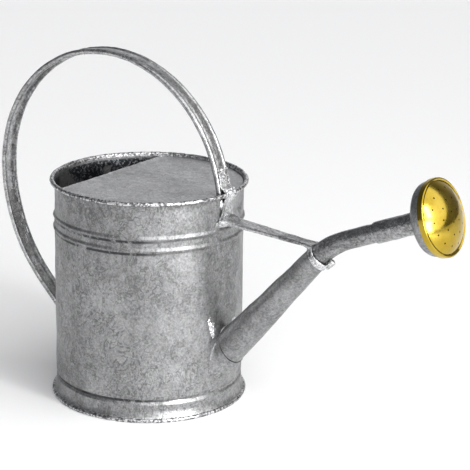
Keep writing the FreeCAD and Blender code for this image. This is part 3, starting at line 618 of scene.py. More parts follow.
def boot_ends(angle):
    """Ends of the boot's straight lines: the cone's oval in the seam's plane, and the print's outline."""
    high = on_cone(np.array(PI / 2), seam_back(np.array(PI / 2)))
    centre = (high + SEAM_FOOT) / 2
    off_axis = (centre - BEND) @ SPOUT_OVER
    side_r = math.sqrt(cone_radius((BEND - centre) @ SPOUT_AXIS) ** 2 - off_axis ** 2)
    cosine, sine = np.cos(angle)[..., None], np.sin(angle)[..., None]
    seam = centre + SIDE * side_r * cosine + (high - centre) * sine
    slope = (SEAM_FOOT[2] - BOOT_FOOT_Z) / (SEAM_FOOT[0] - BODY_R)
    low_z = BOOT_FOOT_Z - slope * PRINT_IN
    high_z = BEND[2] - (BEND[0] - BODY_R) * math.tan(SPOUT_TILT) + PRINT_OVER_ROOT
    half = np.array([PRINT_HALF_W, (high_z - low_z) / 2])
    turn = np.linspace(0, 2 * PI, 1441)
    line = superellipse(turn) * half
    run = np.concatenate([[0], np.cumsum(np.linalg.norm(np.diff(line, axis=0), axis=1))])
    at = np.mod(angle, 2 * PI) / (2 * PI) * run[-1]
    y, up = np.interp(at, run, line[:, 0]), np.interp(at, run, line[:, 1])
    return seam, np.stack([np.full_like(y, BODY_R - PRINT_IN), y, (low_z + high_z) / 2 + up], -1)


def boot_lines(count=121):
    """Lines of the boot whose seam end stands outside the wall, and the share of each up to the wall."""
    probe = np.linspace(-1.5 * PI, 0.5 * PI, 4001)
    seam, _ = boot_ends(probe)
    outside = probe[np.hypot(seam[:, 0], seam[:, 1]) > BODY_R + 0.05]
    seam, low = boot_ends(np.linspace(outside[0], outside[-1], count))
    zero = np.zeros(count)
    reach = -first_outside(lambda t: seam - (low - seam) * t[..., None], zero - 1, zero, BODY_R)
    return seam, low, reach


def spout_boot():
    """Double sheet ruled from seam to wall, seam + t (low - seam), hollowed midway, raised at the seam."""
    seam, low, reach = boot_lines()
    share = np.linspace(0, 1, 56)[:, None]
    open_seam = 0.02
    t = (open_seam + (1 - open_seam) * share) * reach
    p = seam + (low - seam) * t[..., None]
    normal = np.cross(np.gradient(p, axis=1), np.gradient(p, axis=0))
    normal = normal / np.maximum(np.linalg.norm(normal, axis=-1, keepdims=True), 1e-6)
    core = [BODY_R - 20.0, 0, 62.0]
    normal *= np.sign((normal * (p - core)).sum(-1, keepdims=True) + 1e-9)
    middle = hump(share, 0.5, 0.5)
    shift = 0.2 * waves(p, 32.0, 44) * middle - 0.5 * middle * reach
    shift += 0.5 * (1 - smooth(share, 0.0, 0.06))
    p = p + normal * shift[..., None]
    inner = p - normal * SHEET
    return build("spout_boot_apron", [grid(np.concatenate([p, inner[::-1]]), True, False)], zinc_spout,
                 nodes=["spout_boot"])


def slab(front, back):
    """Two sheets of points that face each other, and the four edges that close them."""
    edges = [np.stack([front[k], back[k]]) for k in (0, -1)]
    edges += [np.stack([front[:, k], back[:, k]]) for k in (0, -1)]
    return [grid(sheet) for sheet in [front, back] + edges]


def bead_along(path, normal, radius, seed, flat=0.7, count=12):
    """Run of solder or weld along a path: a flattened round bead of uneven thickness."""
    uneven = radius * (1 + 0.22 * waves(path, 6.0, seed) + 0.2 * waves(path, 19.0, seed + 1))
    p = tube_along(path, normal, np.maximum(uneven, 0.35 * radius), count)
    away = p - path[:, None, :]
    lift = (away * unit(normal)).sum(-1, keepdims=True) * unit(normal)
    return grid(capped(path[:, None, :] + away - lift * (1 - flat)), False, True)


def even_steps(path, step):
    """The same line with points at even steps along it."""
    length = np.concatenate([[0], np.cumsum(np.linalg.norm(np.diff(path, axis=0), axis=1))])
    at = np.linspace(0, length[-1], max(4, int(length[-1] / step)))
    return np.stack([np.interp(at, length, path[:, k]) for k in range(3)], -1)


def deposit(y, z, half_w, half_h, height, seed, lean=0.0):
    """Frozen run of zinc on the wall: an uneven mound over a long oval, its rim sunk below the sheet."""
    v = np.linspace(-1, 1, 44)[:, None]
    u = np.linspace(-1, 1, 30)[None, :]
    py = y + half_w * u + lean * v + 0 * v
    pz = z + half_h * v + 0 * u
    base = around(BODY_R, pz, np.arcsin(py / BODY_R))
    far = np.sqrt(u ** 2 + v ** 2) + 0.10 * waves(base, 8.0, seed) + 0.05 * waves(base, 2.6, seed + 1)
    rise = height * (1 - smooth(far, 0.35, 0.95)) * (1 + 0.22 * waves(base, 4.0, seed + 2)) - 0.3
    edge = np.maximum(np.abs(u) + 0 * v, np.abs(v) + 0 * u)
    rise = np.where(edge > 0.98, -0.5, rise)
    out = unit(base * [1, 1, 0])
    front = base + out * rise[..., None]
    back = base - out * 0.6
    return slab(front, back)


def root_welds():
    """Thin fillets where the boot and the tube meet the wall, and the zinc that ran and froze beside them."""
    seam, low, reach = boot_lines(161)
    foot = even_steps(seam + (low - seam) * reach[:, None], 1.2)
    angle = np.linspace(0, 2 * PI, 721)
    back, buried = cone_foot(angle, BODY_R)
    upper = even_steps(on_cone(angle, back)[buried], 1.2)
    out = np.array([1.0, 0.0, 0.35])
    build("root_fillets", [bead_along(foot, out, 0.8, 50), bead_along(upper, out, 1.8, 52)], zinc_spout)
    return build("root_runs", [shell for place in ROOT_DEPOSITS for shell in deposit(*place)], zinc_bright)


def spout_clip():
    """Band round the tubes' joint, drawn tight, with its pinched lug below and a soldered upper edge."""
    axis = heading(CLIP_TILT)
    base = BEND + axis * CLIP_ALONG
    angle = np.linspace(0, 2 * PI, 140, endpoint=False)
    under = (1 - np.sin(angle)) / 2
    section = np.radians(np.linspace(0, 360, 26, endpoint=False))
    across = CLIP_HALF_W * np.cos(section)
    thick = CLIP_T * np.sign(np.sin(section)) * np.abs(np.sin(section)) ** 0.6
    width = (0.62 + 0.38 * under ** 2)[:, None]
    out = ring(angle, axis)
    p = base + out[:, None, :] * (CLIP_R + thick)[None, :, None] + axis * (across[None, :] * width)[..., None]
    p = p + out[:, None, :] * (0.22 * waves(p, 9.0, 56) + 0.2)[..., None]
    down = heading(CLIP_TILT - PI / 2)
    t = np.linspace(-1, 1, 26)
    lug_path = base + down * (CLIP_R - 0.6) + axis * (6.5 + t * 7.0)[:, None]
    lug_r = LUG_R * np.sqrt(np.clip(1 - t ** 4, 0.03, 1)) * (1 + 0.05 * waves(lug_path, 6.0, 57))
    lug = tube_along(lug_path, SIDE, lug_r, 20)
    fillet = base + out * (CLIP_R - 0.7) + axis * (3.2 + 0.5 * under)[:, None]
    solder = bead_along(np.concatenate([fillet, fillet[:1]]), axis, 1.0, 98, 1.0)
    build("clip_solder", [solder], zinc_bright)
    return build("spout_clip", [grid(p, True, True), grid(capped(lug), False, True)], zinc_brace,
                 nodes=["spout_collar"])


# ---- brace -------------------------------------------------------------

def strip_round(points, normals, half_width, thickness, rows=9):
    """Flat bar with softened edges: a rounded-rectangle section of given half-width along a line."""
    a = np.linspace(0, 2 * PI, 4 * rows, endpoint=False)
    y = np.sign(np.cos(a)) * np.abs(np.cos(a)) ** 0.35
    n = np.sign(np.sin(a)) * np.abs(np.sin(a)) ** 0.5
    p = points[:, None, :] + normals[:, None, :] * (n[None, :, None] * thickness / 2)
    p = p + SIDE * (y[None, :] * np.asarray(half_width)[:, None])[..., None]
    return p


def brace_channel():
    """Inverted channel from the plate to the clip: it narrows, and flares out into the plate at its root."""
    clip = BEND + heading(CLIP_TILT) * CLIP_ALONG
    start = np.array([BODY_R + 0.6, 0.0, BRACE_ROOT_Z])
    end = np.array([clip[0] - 5.0, 0.0, clip[2] + 13.5])
    share = np.concatenate([np.linspace(0, 0.2, 26), np.linspace(0.2, 1, 54)[1:]])
    path = start + (end - start) * share[:, None]
    root = 1 - smooth(share, 0.0, 0.14)
    tip = smooth(share, 0.9, 1.0)
    half = BRACE_ROOT_HALF + (BRACE_TIP_HALF - BRACE_ROOT_HALF) * share + 5.0 * root ** 2 + 2.5 * tip
    depth = BRACE_DEPTH + (BRACE_TIP_DEPTH - BRACE_DEPTH) * share + 3.0 * root ** 2 + 2.0 * tip
    bend_r = 1.6
    inside = (half - bend_r)[:, None]
    mirror = np.array([-1.0, 1.0])
    corner = np.radians(np.linspace(0, 90, 6))
    drop = np.linspace(-depth, -bend_r, 5, axis=1)[:, :-1]
    up = np.stack([half[:, None] + 0 * drop, drop], -1)
    right = np.stack([inside + bend_r * np.cos(corner), 0 * inside - bend_r + bend_r * np.sin(corner)], -1)
    flat = -np.linspace(-1, 1, 15)[1:-1] * inside
    top = np.stack([flat, 0 * flat], -1)
    outer = np.concatenate([up, right, top, (right * mirror)[:, ::-1], (up * mirror)[:, ::-1]], axis=1)
    tangent = unit(end - start)
    up_axis = np.array([-tangent[2], 0, tangent[0]])
    sag = np.abs(outer[..., 0]) / half[:, None]
    lift = 2.5 * root[:, None] ** 2 * (1 - sag ** 2)
    p = path[:, None, :] + SIDE * outer[..., :1] + up_axis * (outer[..., 1] + lift)[..., None]
    p = p + up_axis * (0.12 * waves(p, 22.0, 60) + 0.04 * waves(p, 7.0, 61))[..., None]
    normal = unit(np.cross(np.gradient(p, axis=1), np.gradient(p, axis=0)))
    inner = p + normal * BRACE_T * np.where((normal * up_axis).sum(-1).mean() > 0, -1.0, 1.0)
    return grid(capped(np.concatenate([p, inner[:, ::-1]], axis=1)), False, True)


def wall_plate():
    """Shield-shaped plate, curved to the wall, its outline softened and its face slightly pillowed."""
    v = np.linspace(0, 1, 34)[:, None]
    u = np.linspace(-1, 1, 34)[None, :]
    z = PLATE_LOW_Z + (PLATE_TOP_Z - PLATE_LOW_Z) * v
    half = PLATE_LOW_HALF + (PLATE_TOP_HALF - PLATE_LOW_HALF) * v - 1.2 * hump(v, 0.55, 0.45)
    y = u * half
    edge = np.minimum(np.minimum(1 - np.abs(u), 1.0) * half,
                      np.minimum(v, 1 - v) * (PLATE_TOP_Z - PLATE_LOW_Z))
    thick = BRACE_T * np.clip(edge / 0.9, 0, 1) ** 0.5
    lift = 2.2 * smooth(-u, 0.45, 1.0) * hump(v, 0.62, 0.42) + 0 * thick
    r = BODY_R + 0.05 + thick + lift
    base = BODY_R + 0.02 + lift
    angle = np.arcsin(y / BODY_R)
    front = around(r, z + 0 * y, angle)
    front += unit(front * [1, 1, 0]) * (0.18 * waves(front, 8.0, 62) * np.clip(edge / 2.0, 0, 1))[..., None]
    back = around(base, z + 0 * y, angle)
    return slab(front, back)


def tongue():
    """Strip from the plate out over the rolled rim and up against the grip, dented and crusted with zinc."""
    curl_x = BODY_R + RIM_LEAN - SHEET + RIM_CURL_R
    clear = RIM_CURL_R + 0.7
    front = handle_geometry()[0]
    knots = [(BODY_R + 0.6, PLATE_TOP_Z - 8.0), (BODY_R + 0.6, PLATE_TOP_Z - 1.0),
             (curl_x + clear * 0.9, RIM_Z - 2.6), (curl_x + clear + 0.2, RIM_Z + 0.6),
             (curl_x + clear * 0.75, RIM_Z + clear + 0.1)]
    for z in (RIM_Z + 9.0, 271.0, 278.0, TONGUE_TOP_Z):
        grip = front[0] + math.sqrt((FRONT_ARC_R + ROLL_R) ** 2 - (z - front[2]) ** 2)
        knots.append((grip + 0.65, z))
    knots = np.array(knots)
    t = np.arange(len(knots))
    fine = np.linspace(0, len(knots) - 1, 120)
    line = np.stack([np.interp(fine, t, knots[:, 0]), 0 * fine, np.interp(fine, t, knots[:, 1])], -1)
    kernel = np.hanning(11) / np.hanning(11).sum()
    for k in (0, 2):
        padded = np.pad(line[:, k], 5, mode="edge")
        line[:, k] = np.convolve(padded, kernel, mode="valid")
    tangent = unit(np.gradient(line, axis=0))
    out = np.stack([tangent[:, 2], 0 * fine, -tangent[:, 0]], -1)
    z = line[:, 2]
    top = smooth(z, TONGUE_TOP_Z - 3.0, TONGUE_TOP_Z)
    half = TONGUE_HALF + 0.5 * waves(line, 14.0, 63) - 1.2 * top
    p = strip_round(line, out, half, BRACE_T)
    crust = smooth(z, 250.0, 256.0) * (1 - smooth(z, 268.0, 284.0))
    rough = (0.10 + 0.35 * crust)[:, None] * waves(p, 6.5, 64) + 0.3 * crust[:, None] * waves(p, 15.0, 65)
    p += out[:, None, :] * np.maximum(rough, -0.25)[..., None]
    return grid(capped(p), False, True)


def brace():
    """Tongue, the zinc frozen at rim and plate, the tongue's rivet, and the channel with its wall plate."""
    build("brace_tongue", [tongue()], zinc_crust, sharp=60)
    y = np.linspace(-1, 1, 40)
    edge_x = BODY_R + RIM_LEAN + RIM_CURL_R
    rows = ((edge_x + 1.3, RIM_Z - 2.5, 9.5, 2.0), (edge_x + 1.6, RIM_Z + 2.6, 9.0, 2.2),
            (edge_x - 1.0, RIM_Z + 5.0, 8.5, 2.0))
    out = np.array([1.0, 0, 0.3])
    runs = [bead_along(np.stack([x + 0 * y, half * y, z + 0 * y], -1), out, size, 80 + k, 1.0)
            for k, (x, z, half, size) in enumerate(rows)]
    for place in PLATE_DEPOSITS:
        runs += deposit(*place)
    front = handle_geometry()[0]
    bar = front + heading(math.asin((TONGUE_TOP_Z - front[2]) / FRONT_ARC_R)) * (FRONT_ARC_R + 2.6)
    runs.append(bead_along(bar + SIDE * (10.0 * y)[:, None], np.array([1.0, 0, 0.2]), 1.5, 97, 1.0))
    build("brace_runs", runs, zinc_bright)
    a = math.asin((TONGUE_TOP_Z - TONGUE_RIVET_DOWN - front[2]) / FRONT_ARC_R)
    point = front + heading(a) * (FRONT_ARC_R + ROLL_R + BRACE_T + 0.2)
    build("tongue_rivet", [domed_head(point, heading(a), 2.6, 0.9)], zinc_brace,
          nodes=["front_rivet"])
    return build("brace_strip", [brace_channel()] + wall_plate(), zinc_brace, nodes=["brace"], sharp=45)


# ---- rose --------------------------------------------------------------

ROSE_AXIS = heading(ROSE_TILT)
ROSE_BACK = BEND_END + TIP_AXIS * (SOCKET_START + SOCKET_L)


def rose_socket():
    """Sleeve with a rounded mouth and an overlapped seam, cut off where the cup begins."""
    start = BEND_END + TIP_AXIS * SOCKET_START
    z = np.linspace(1.2, SOCKET_L + 2.0, 44)
    outer = np.concatenate([[[SOCKET_BORE, 0.4]], [[SOCKET_R - 0.9, 0.0]], [[SOCKET_R - 0.25, 0.35]],
                            np.stack([np.full_like(z, SOCKET_R), z], -1)])
    inner = np.stack([np.full_like(z, SOCKET_BORE), z[::-1]], -1)
    profile = np.concatenate([outer, inner])
    sides = 96
    p = lathe(profile, start, TIP_AXIS, sides)
    angle = np.linspace(0, 2 * PI, sides, endpoint=False)[:, None]
    out = unit(p - start - TIP_AXIS * ((p - start) @ TIP_AXIS)[..., None])
    skin = (np.arange(len(profile)) < len(outer))[None, :]
    shift = (0.14 * waves(p, 24.0, 70) + 0.04 * waves(p, 8.0, 71) + lap_seam(angle, 0.55, 0.45, 1.3)) * skin
    p = p + out * (shift * smooth(profile[None, :, 1], 0.0, 3.0))[..., None]
    over = ((p - ROSE_BACK) @ ROSE_AXIS) / (TIP_AXIS @ ROSE_AXIS)
    p = p - TIP_AXIS * np.maximum(over, 0.0)[..., None]
    return build("socket_sleeve", [grid(p, True, True)], zinc_tip, body="rose", nodes=["rose_socket"])


def rose_cup():
    """Spun cup: flat back, round shoulder and short side, hammered a little uneven."""
    shoulder_r = CUP_R - 1.4
    flat_r = CUP_R - 9.7
    t = np.radians(np.linspace(90, 0, 16))
    arc = np.stack([flat_r + (shoulder_r - flat_r) * np.cos(t), 7.0 - 7.0 * np.sin(t)], -1)
    back = np.stack([np.linspace(9.5, flat_r, 12)[:-1], np.zeros(11)], -1)
    side = np.array([[CUP_R - 0.9, 11.0], [CUP_R - 0.4, 14.0], [CUP_R, 16.9]])
    outer = np.concatenate([back, arc, side])
    inner = (outer - [SHEET, 0.0])[::-1] + [0.0, 0.5]
    profile = np.concatenate([outer, inner])
    p = lathe(profile, ROSE_BACK, ROSE_AXIS, 160)
    out = unit(p - ROSE_BACK - ROSE_AXIS * 20.0)
    p = p + out * (0.16 * waves(p, 30.0, 72) * (profile[None, :, 1] < 15))[..., None]
    return build("rose_cup", [grid(p, True, True)], zinc_spout, body="rose", nodes=["rose_back"])


# ---- finishes ----------------------------------------------------------

def new_group(name, inputs, outputs):
    """Node group with float, vector or colour sockets, given as (name, kind, default)."""
    group = bpy.data.node_groups.new(name, "ShaderNodeTree")
    for label, kind, value in inputs:
        socket = group.interface.new_socket(name=label, in_out="INPUT", socket_type="NodeSocket" + kind)
        socket.default_value = value
    for label, kind in outputs:
        group.interface.new_socket(name=label, in_out="OUTPUT", socket_type="NodeSocket" + kind)
    return group


def add(tree, kind, settings=(), **inputs):
    """Node with its settings made, and its inputs set to a value or joined to another node's socket."""
    node = tree.nodes.new("ShaderNode" + kind)
    for key, value in dict(settings).items():
        setattr(node, key, value)
    for key, value in inputs.items():
        socket = node.inputs[int(key[1:])] if key[0] == "i" and key[1:].isdigit() else node.inputs[key]
        if isinstance(value, bpy.types.NodeSocket):
            tree.links.new(value, socket)
        else:
            socket.default_value = value
    return node


def calc(tree, operation, a, b=0.0, c=0.0):
    """Output of one maths node."""
    return add(tree, "Math", {"operation": operation}, i0=a, i1=b, i2=c).outputs[0]


def between(tree, value, low, high, to_low=0.0, to_high=1.0):
    """Smooth step of a value from low..high to to_low..to_high."""
    node = add(tree, "MapRange", {"interpolation_type": "SMOOTHSTEP"},
               i0=value, i1=low, i2=high, i3=to_low, i4=to_high)
    return node.outputs[0]


def blended(tree, share, a, b, how="MIX"):
    """Mix of two colours."""
    node = tree.nodes.new("ShaderNodeMix")
    node.data_type = "RGBA"
    node.blend_type = how
    for socket, value in ((node.inputs[0], share), (node.inputs[6], a), (node.inputs[7], b)):
        if isinstance(value, bpy.types.NodeSocket):
            tree.links.new(value, socket)
        else:
            socket.default_value = value
    return node.outputs[2]


def zinc_group():
    """Hot-dip zinc: broad cloudy patches, small spangles, thin flow lines where the metal froze, and pits."""
    group = new_group("zinc_skin",
                      [("Light", "Color", (0.5, 0.5, 0.5, 1)), ("Dark", "Color", (0.2, 0.2, 0.2, 1)),
                       ("Stretch", "Vector", (1, 1, 0.45)), ("Lines", "Float", 0.5),
                       ("Spangle", "Float", 0.3), ("Pits", "Float", 0.5), ("Smooth", "Float", 0.3),
                       ("Rough", "Float", 0.5)],
                      [("Color", "Color"), ("Roughness", "Float"), ("Height", "Float")])
    start = group.nodes.new("NodeGroupInput").outputs
    end = group.nodes.new("NodeGroupOutput").inputs
    coord = add(group, "TexCoord").outputs["Object"]
    drift = add(group, "TexNoise", i0=coord, Scale=17.0, Detail=2.0).outputs["Color"]
    drift = add(group, "VectorMath", {"operation": "SUBTRACT"}, i0=drift, i1=(0.5, 0.5, 0.5)).outputs[0]
    drift = add(group, "VectorMath", {"operation": "SCALE"}, i0=drift, Scale=0.03).outputs[0]
    stretched = add(group, "VectorMath", {"operation": "MULTIPLY"}, i0=coord, i1=start["Stretch"]).outputs[0]
    flowing = add(group, "VectorMath", {"operation": "ADD"}, i0=stretched, i1=drift).outputs[0]
    flow = add(group, "TexNoise", i0=flowing, Scale=95.0, Detail=3.0, Roughness=0.5,
               Distortion=0.5).outputs[0]
    offset = calc(group, "ABSOLUTE", calc(group, "SUBTRACT", flow, 0.5))
    line = between(group, offset, 0.006, 0.030, 1.0, 0.0)
    second = calc(group, "ABSOLUTE", calc(group, "SUBTRACT", flow, 0.6))
    line = calc(group, "MAXIMUM", line, between(group, second, 0.003, 0.02, 0.8, 0.0))
    where = add(group, "TexNoise", i0=coord, Scale=13.0, Detail=2.0).outputs[0]
    line = calc(group, "MULTIPLY", line, between(group, where, 0.38, 0.55))
    cloud = add(group, "TexNoise", i0=flowing, Scale=15.0, Detail=5.0, Roughness=0.62).outputs[0]
    cell = add(group, "TexVoronoi", i0=flowing, Scale=150.0).outputs["Color"]
    cell = calc(group, "SUBTRACT", add(group, "SeparateXYZ", i0=cell).outputs[0], 0.5)
    fine = add(group, "TexNoise", i0=coord, Scale=380.0, Detail=3.0, Roughness=0.8).outputs[0]
    pit_field = add(group, "TexNoise", i0=stretched, Scale=230.0, Detail=3.0, Roughness=0.65,
                    Distortion=0.8).outputs[0]
    pit = calc(group, "MULTIPLY", between(group, pit_field, 0.62, 0.72), start["Pits"])
    shade = calc(group, "ADD", between(group, cloud, 0.25, 0.75, 0.25, 0.75),
                 calc(group, "MULTIPLY", cell, start["Spangle"]))
    shade = calc(group, "ADD", shade, calc(group, "MULTIPLY", calc(group, "SUBTRACT", fine, 0.5), 2.3))
    dulled = calc(group, "ADD", calc(group, "MULTIPLY", line, start["Lines"]), pit)
    shade = calc(group, "SUBTRACT", shade, dulled)
    shade = add(group, "Clamp", i0=shade).outputs[0]
    group.links.new(blended(group, shade, start["Dark"], start["Light"]), end["Color"])
    span = calc(group, "SUBTRACT", start["Rough"], start["Smooth"])
    rough_share = calc(group, "ADD", between(group, cloud, 0.72, 0.32), calc(group, "MULTIPLY", dulled, 0.5))
    group.links.new(calc(group, "MULTIPLY_ADD", rough_share, span, start["Smooth"]), end["Roughness"])
    height = calc(group, "MULTIPLY_ADD", flow, 0.75, calc(group, "MULTIPLY", fine, 0.28))
    height = calc(group, "SUBTRACT", height, calc(group, "MULTIPLY", dulled, 0.30))
    height = calc(group, "MULTIPLY_ADD", pit_field, 0.35, height)
    height = calc(group, "MULTIPLY_ADD", cell, 0.10, height)
    group.links.new(height, end["Height"])
    return group


ZINC = zinc_group()


def zinc(name, light, dark, smooth_r, rough_r, lines=0.5, spangle=0.3, pits=0.5, stretch=(1.0, 1.0, 0.45),
         relief=0.35, metal=0.9):
    """Galvanised finish with its own tone, roughness and relief."""
    material = bpy.data.materials.new(name)
    material.use_nodes = True
    tree = material.node_tree
    skin = tree.nodes.new("ShaderNodeGroup")
    skin.node_tree = ZINC
    tint = np.array([0.985, 0.99, 1.0])
    for label, value in (("Light", (*(tint * light), 1)), ("Dark", (*(tint * dark), 1)), ("Stretch", stretch),
                         ("Lines", lines), ("Spangle", spangle), ("Pits", pits), ("Smooth", smooth_r),
                         ("Rough", rough_r)):
        skin.inputs[label].default_value = value
    shader = tree.nodes["Principled BSDF"]
    shader.inputs["Metallic"].default_value = metal
    bump = add(tree, "Bump", Strength=relief, Distance=0.0012, Height=skin.outputs["Height"])
    tree.links.new(skin.outputs["Color"], shader.inputs["Base Color"])
    tree.links.new(skin.outputs["Roughness"], shader.inputs["Roughness"])
    tree.links.new(bump.outputs[0], shader.inputs["Normal"])
    return material


def marks_and_shade_group():
    """The wall's marks and painted shade, by height and side: painted shade under the swages on the side away
    from the key light, crusted edges, and the inside painted dark as shade with bright zinc spangles.
    """
    group = new_group("wall_marks_and_shade", [("Color", "Color", (0.3, 0.3, 0.3, 1)), ("Roughness", "Float", 0.4)],
                      [("Color", "Color"), ("Roughness", "Float")])
    start = group.nodes.new("NodeGroupInput").outputs
    end = group.nodes.new("NodeGroupOutput").inputs
    coord = add(group, "TexCoord").outputs["Object"]
    xyz = add(group, "SeparateXYZ", i0=coord).outputs
    dash = add(group, "TexNoise", i0=coord, Scale=70.0, Detail=3.0, Roughness=0.6).outputs[0]
    grain = add(group, "TexNoise", i0=coord, Scale=330.0, Detail=3.0, Roughness=0.7).outputs[0]
    colour = start["Color"]
    # Painted shade mask: side runs across the view, and the mask below keeps painted shade to the side away
    # from the key light, on the left in view.
    fade_x, fade_y = 0.79, 0.61
    side = calc(group, "MULTIPLY_ADD", xyz[0], fade_x, calc(group, "MULTIPLY", xyz[1], fade_y))
    shaded_side = between(group, side, 0.030, -0.015)
    # Painted shade: near-black dashed lines just under each bead and the groove stand for the shadows the
    # swages cast on the side away from the key light.
    swage_shade = 0.0
    for z in (BEADS_Z[0] - 3.4, BEADS_Z[1] - 3.4, GROOVE_Z + 0.8):
        off = calc(group, "ABSOLUTE", calc(group, "SUBTRACT", xyz[2], z * MM))
        swage_shade = calc(group, "MAXIMUM", between(group, off, 0.0009, 0.0024, 1.0, 0.0), swage_shade)
    swage_shade = calc(group, "MULTIPLY", swage_shade, between(group, dash, 0.36, 0.47))
    swage_shade = calc(group, "MULTIPLY", swage_shade, shaded_side)
    # Lay the painted swage shadows into the colour.
    colour = blended(group, calc(group, "MULTIPLY", swage_shade, 0.9), colour, (0.035, 0.035, 0.038, 1))
    edge = calc(group, "MAXIMUM", between(group, xyz[2], (RIM_Z - 2.2) * MM, (RIM_Z - 1.2) * MM),
                between(group, xyz[2], (FOOT_H + 0.6) * MM, FOOT_H * MM))
    crust = blended(group, between(group, grain, 0.44, 0.56), (0.10, 0.10, 0.105, 1), (0.80, 0.80, 0.81, 1))
    colour = blended(group, calc(group, "MULTIPLY", edge, 0.75), colour, crust)
    flat = add(group, "CombineXYZ", X=xyz[0], Y=xyz[1], Z=0.0).outputs[0]
    radius = add(group, "VectorMath", {"operation": "LENGTH"}, i0=flat).outputs["Value"]
    inside = between(group, radius, (BODY_R - 0.5) * MM, (BODY_R - 0.7) * MM)
    inside = calc(group, "MULTIPLY", inside, calc(group, "SUBTRACT", 1.0, edge))
    above_groove = between(group, xyz[2], (GROOVE_Z + 5.0) * MM, (GROOVE_Z + 8.0) * MM)
    inside = calc(group, "MULTIPLY", inside, above_groove)
    # Painted shade: the inner face of the wall, above the groove and below the rim, is mixed to a near-black
    # colour that stands for the shade inside the tank. The zinc's bright spangle specks are kept in it.
    spangle = blended(group, between(group, grain, 0.50, 0.66),
                      (0.035, 0.038, 0.042, 1), (0.42, 0.43, 0.45, 1))
    colour = blended(group, inside, colour, spangle)
    group.links.new(colour, end["Color"])
    rough = calc(group, "MULTIPLY_ADD", edge, -0.12, start["Roughness"])
    group.links.new(rough, end["Roughness"])
    return group


def with_marks_and_shade(material):
    """Put the wall's marks and painted shade between the zinc skin and the shader."""
    tree = material.node_tree
    marks_and_shade = tree.nodes.new("ShaderNodeGroup")
    marks_and_shade.node_tree = marks_and_shade_group()
    shader = tree.nodes["Principled BSDF"]
    for name, socket in (("Color", "Base Color"), ("Roughness", "Roughness")):
        tree.links.new(shader.inputs[socket].links[0].from_socket, marks_and_shade.inputs[name])
        tree.links.new(marks_and_shade.outputs[name], shader.inputs[socket])
    return material


EVEN = (1.0, 1.0, 1.0)

# The wall's finish: crusted edges, plus painted shade under the swages and inside the tank, laid over the
# zinc.
zinc_wall = with_marks_and_shade(zinc("galvanised_wall", 0.40, 0.15, 0.30, 0.46, lines=0.5, stretch=(1.0, 1.0, 0.7)))
zinc_flat = zinc("galvanised_hood", 0.74, 0.44, 0.36, 0.50, lines=0.7, stretch=EVEN)
zinc_bright = zinc("zinc_deposit", 0.82, 0.46, 0.24, 0.46, lines=0.3, pits=0.7, stretch=EVEN, relief=0.6)
zinc_handle = zinc("galvanised_strip", 0.66, 0.16, 0.20, 0.36, lines=0.3, stretch=EVEN, relief=0.4)
zinc_spout = zinc("galvanised_spout", 0.42, 0.17, 0.32, 0.48, lines=0.35, stretch=(0.8, 1.0, 0.8), relief=0.4)
zinc_tip = zinc("galvanised_tip", 0.46, 0.12, 0.16, 0.32, lines=0.4, stretch=(0.5, 1.0, 1.0), relief=0.7)
zinc_crust = zinc("zinc_crust", 1.0, 0.16, 0.16, 0.40, lines=0.5, spangle=0.7, pits=0.9,
                  stretch=(1.0, 1.0, 0.6), relief=0.9)
# Partly painted highlight: the brace finish's near-white streaks, stretched along the strip, stand in for its
# streaky highlights, laid over the zinc's own streaky tone. The clip and the tongue's rivet share this
# finish.
zinc_brace = zinc("galvanised_brace", 0.85, 0.16, 0.18, 0.36, lines=0.4, stretch=(0.25, 1.0, 1.0), relief=0.8)


def brass(name):
    """Spun and polished brass: light smears and a few dull spots."""
    material = bpy.data.materials.new(name)
    material.use_nodes = True
    tree = material.node_tree
    coord = add(tree, "TexCoord").outputs["Object"]
    smear = add(tree, "TexNoise", i0=coord, Scale=45.0, Detail=4.0, Roughness=0.6).outputs[0]
    spot = add(tree, "TexNoise", i0=coord, Scale=260.0, Detail=2.0).outputs[0]
    colour = blended(tree, between(tree, smear, 0.35, 0.7), (0.42, 0.29, 0.03, 1), (0.52, 0.38, 0.06, 1))
    colour = blended(tree, between(tree, spot, 0.66, 0.74, 0.0, 0.4), colour, (0.30, 0.17, 0.03, 1))
    shader = tree.nodes["Principled BSDF"]
    shader.inputs["Metallic"].default_value = 1.0
    tree.links.new(colour, shader.inputs["Base Color"])
    tree.links.new(between(tree, smear, 0.3, 0.75, 0.10, 0.20), shader.inputs["Roughness"])
    bump = add(tree, "Bump", Strength=0.08, Distance=0.0005, Height=smear)
    tree.links.new(bump.outputs[0], shader.inputs["Normal"])
    return material


polished_brass = brass("polished_brass")


# ---- the can -----------------------------------------------------------

tank_wall()
hood_sheet()
hood_hem()
handle_strip()
rivets()
spout_lower()
spout_upper()
spout_boot()
root_welds()
spout_clip()
brace()
rose_socket()
rose_cup()

for node, finish in (("rim_wire", zinc_wall), ("bottom_pan", zinc_wall), ("hood_wire", zinc_wall),
                     ("rose_face", polished_brass)):
    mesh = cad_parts[node].data
    mesh.materials.clear()
    mesh.materials.append(finish)


# ---- floor, light and camera -------------------------------------------

def stage_floor():
    """Plain pale floor."""
    mesh = bpy.data.meshes.new("floor")
    side = 14.0
    corners = [(-side, -side, 0), (side, -side, 0), (side, side, 0), (-side, side, 0)]
    mesh.from_pydata(corners, [], [(0, 1, 2, 3)])
    material = bpy.data.materials.new("floor_paint")
    material.use_nodes = True
    shader = material.node_tree.nodes["Principled BSDF"]
    shader.inputs["Base Color"].default_value = (0.95, 0.95, 0.95, 1)
    shader.inputs["Roughness"].default_value = 0.9
    mesh.materials.append(material)
    floor = bpy.data.objects.new("floor", mesh)
    bpy.context.scene.collection.objects.link(floor)


AIM = Vector((0.10, 0.0, 0.18))


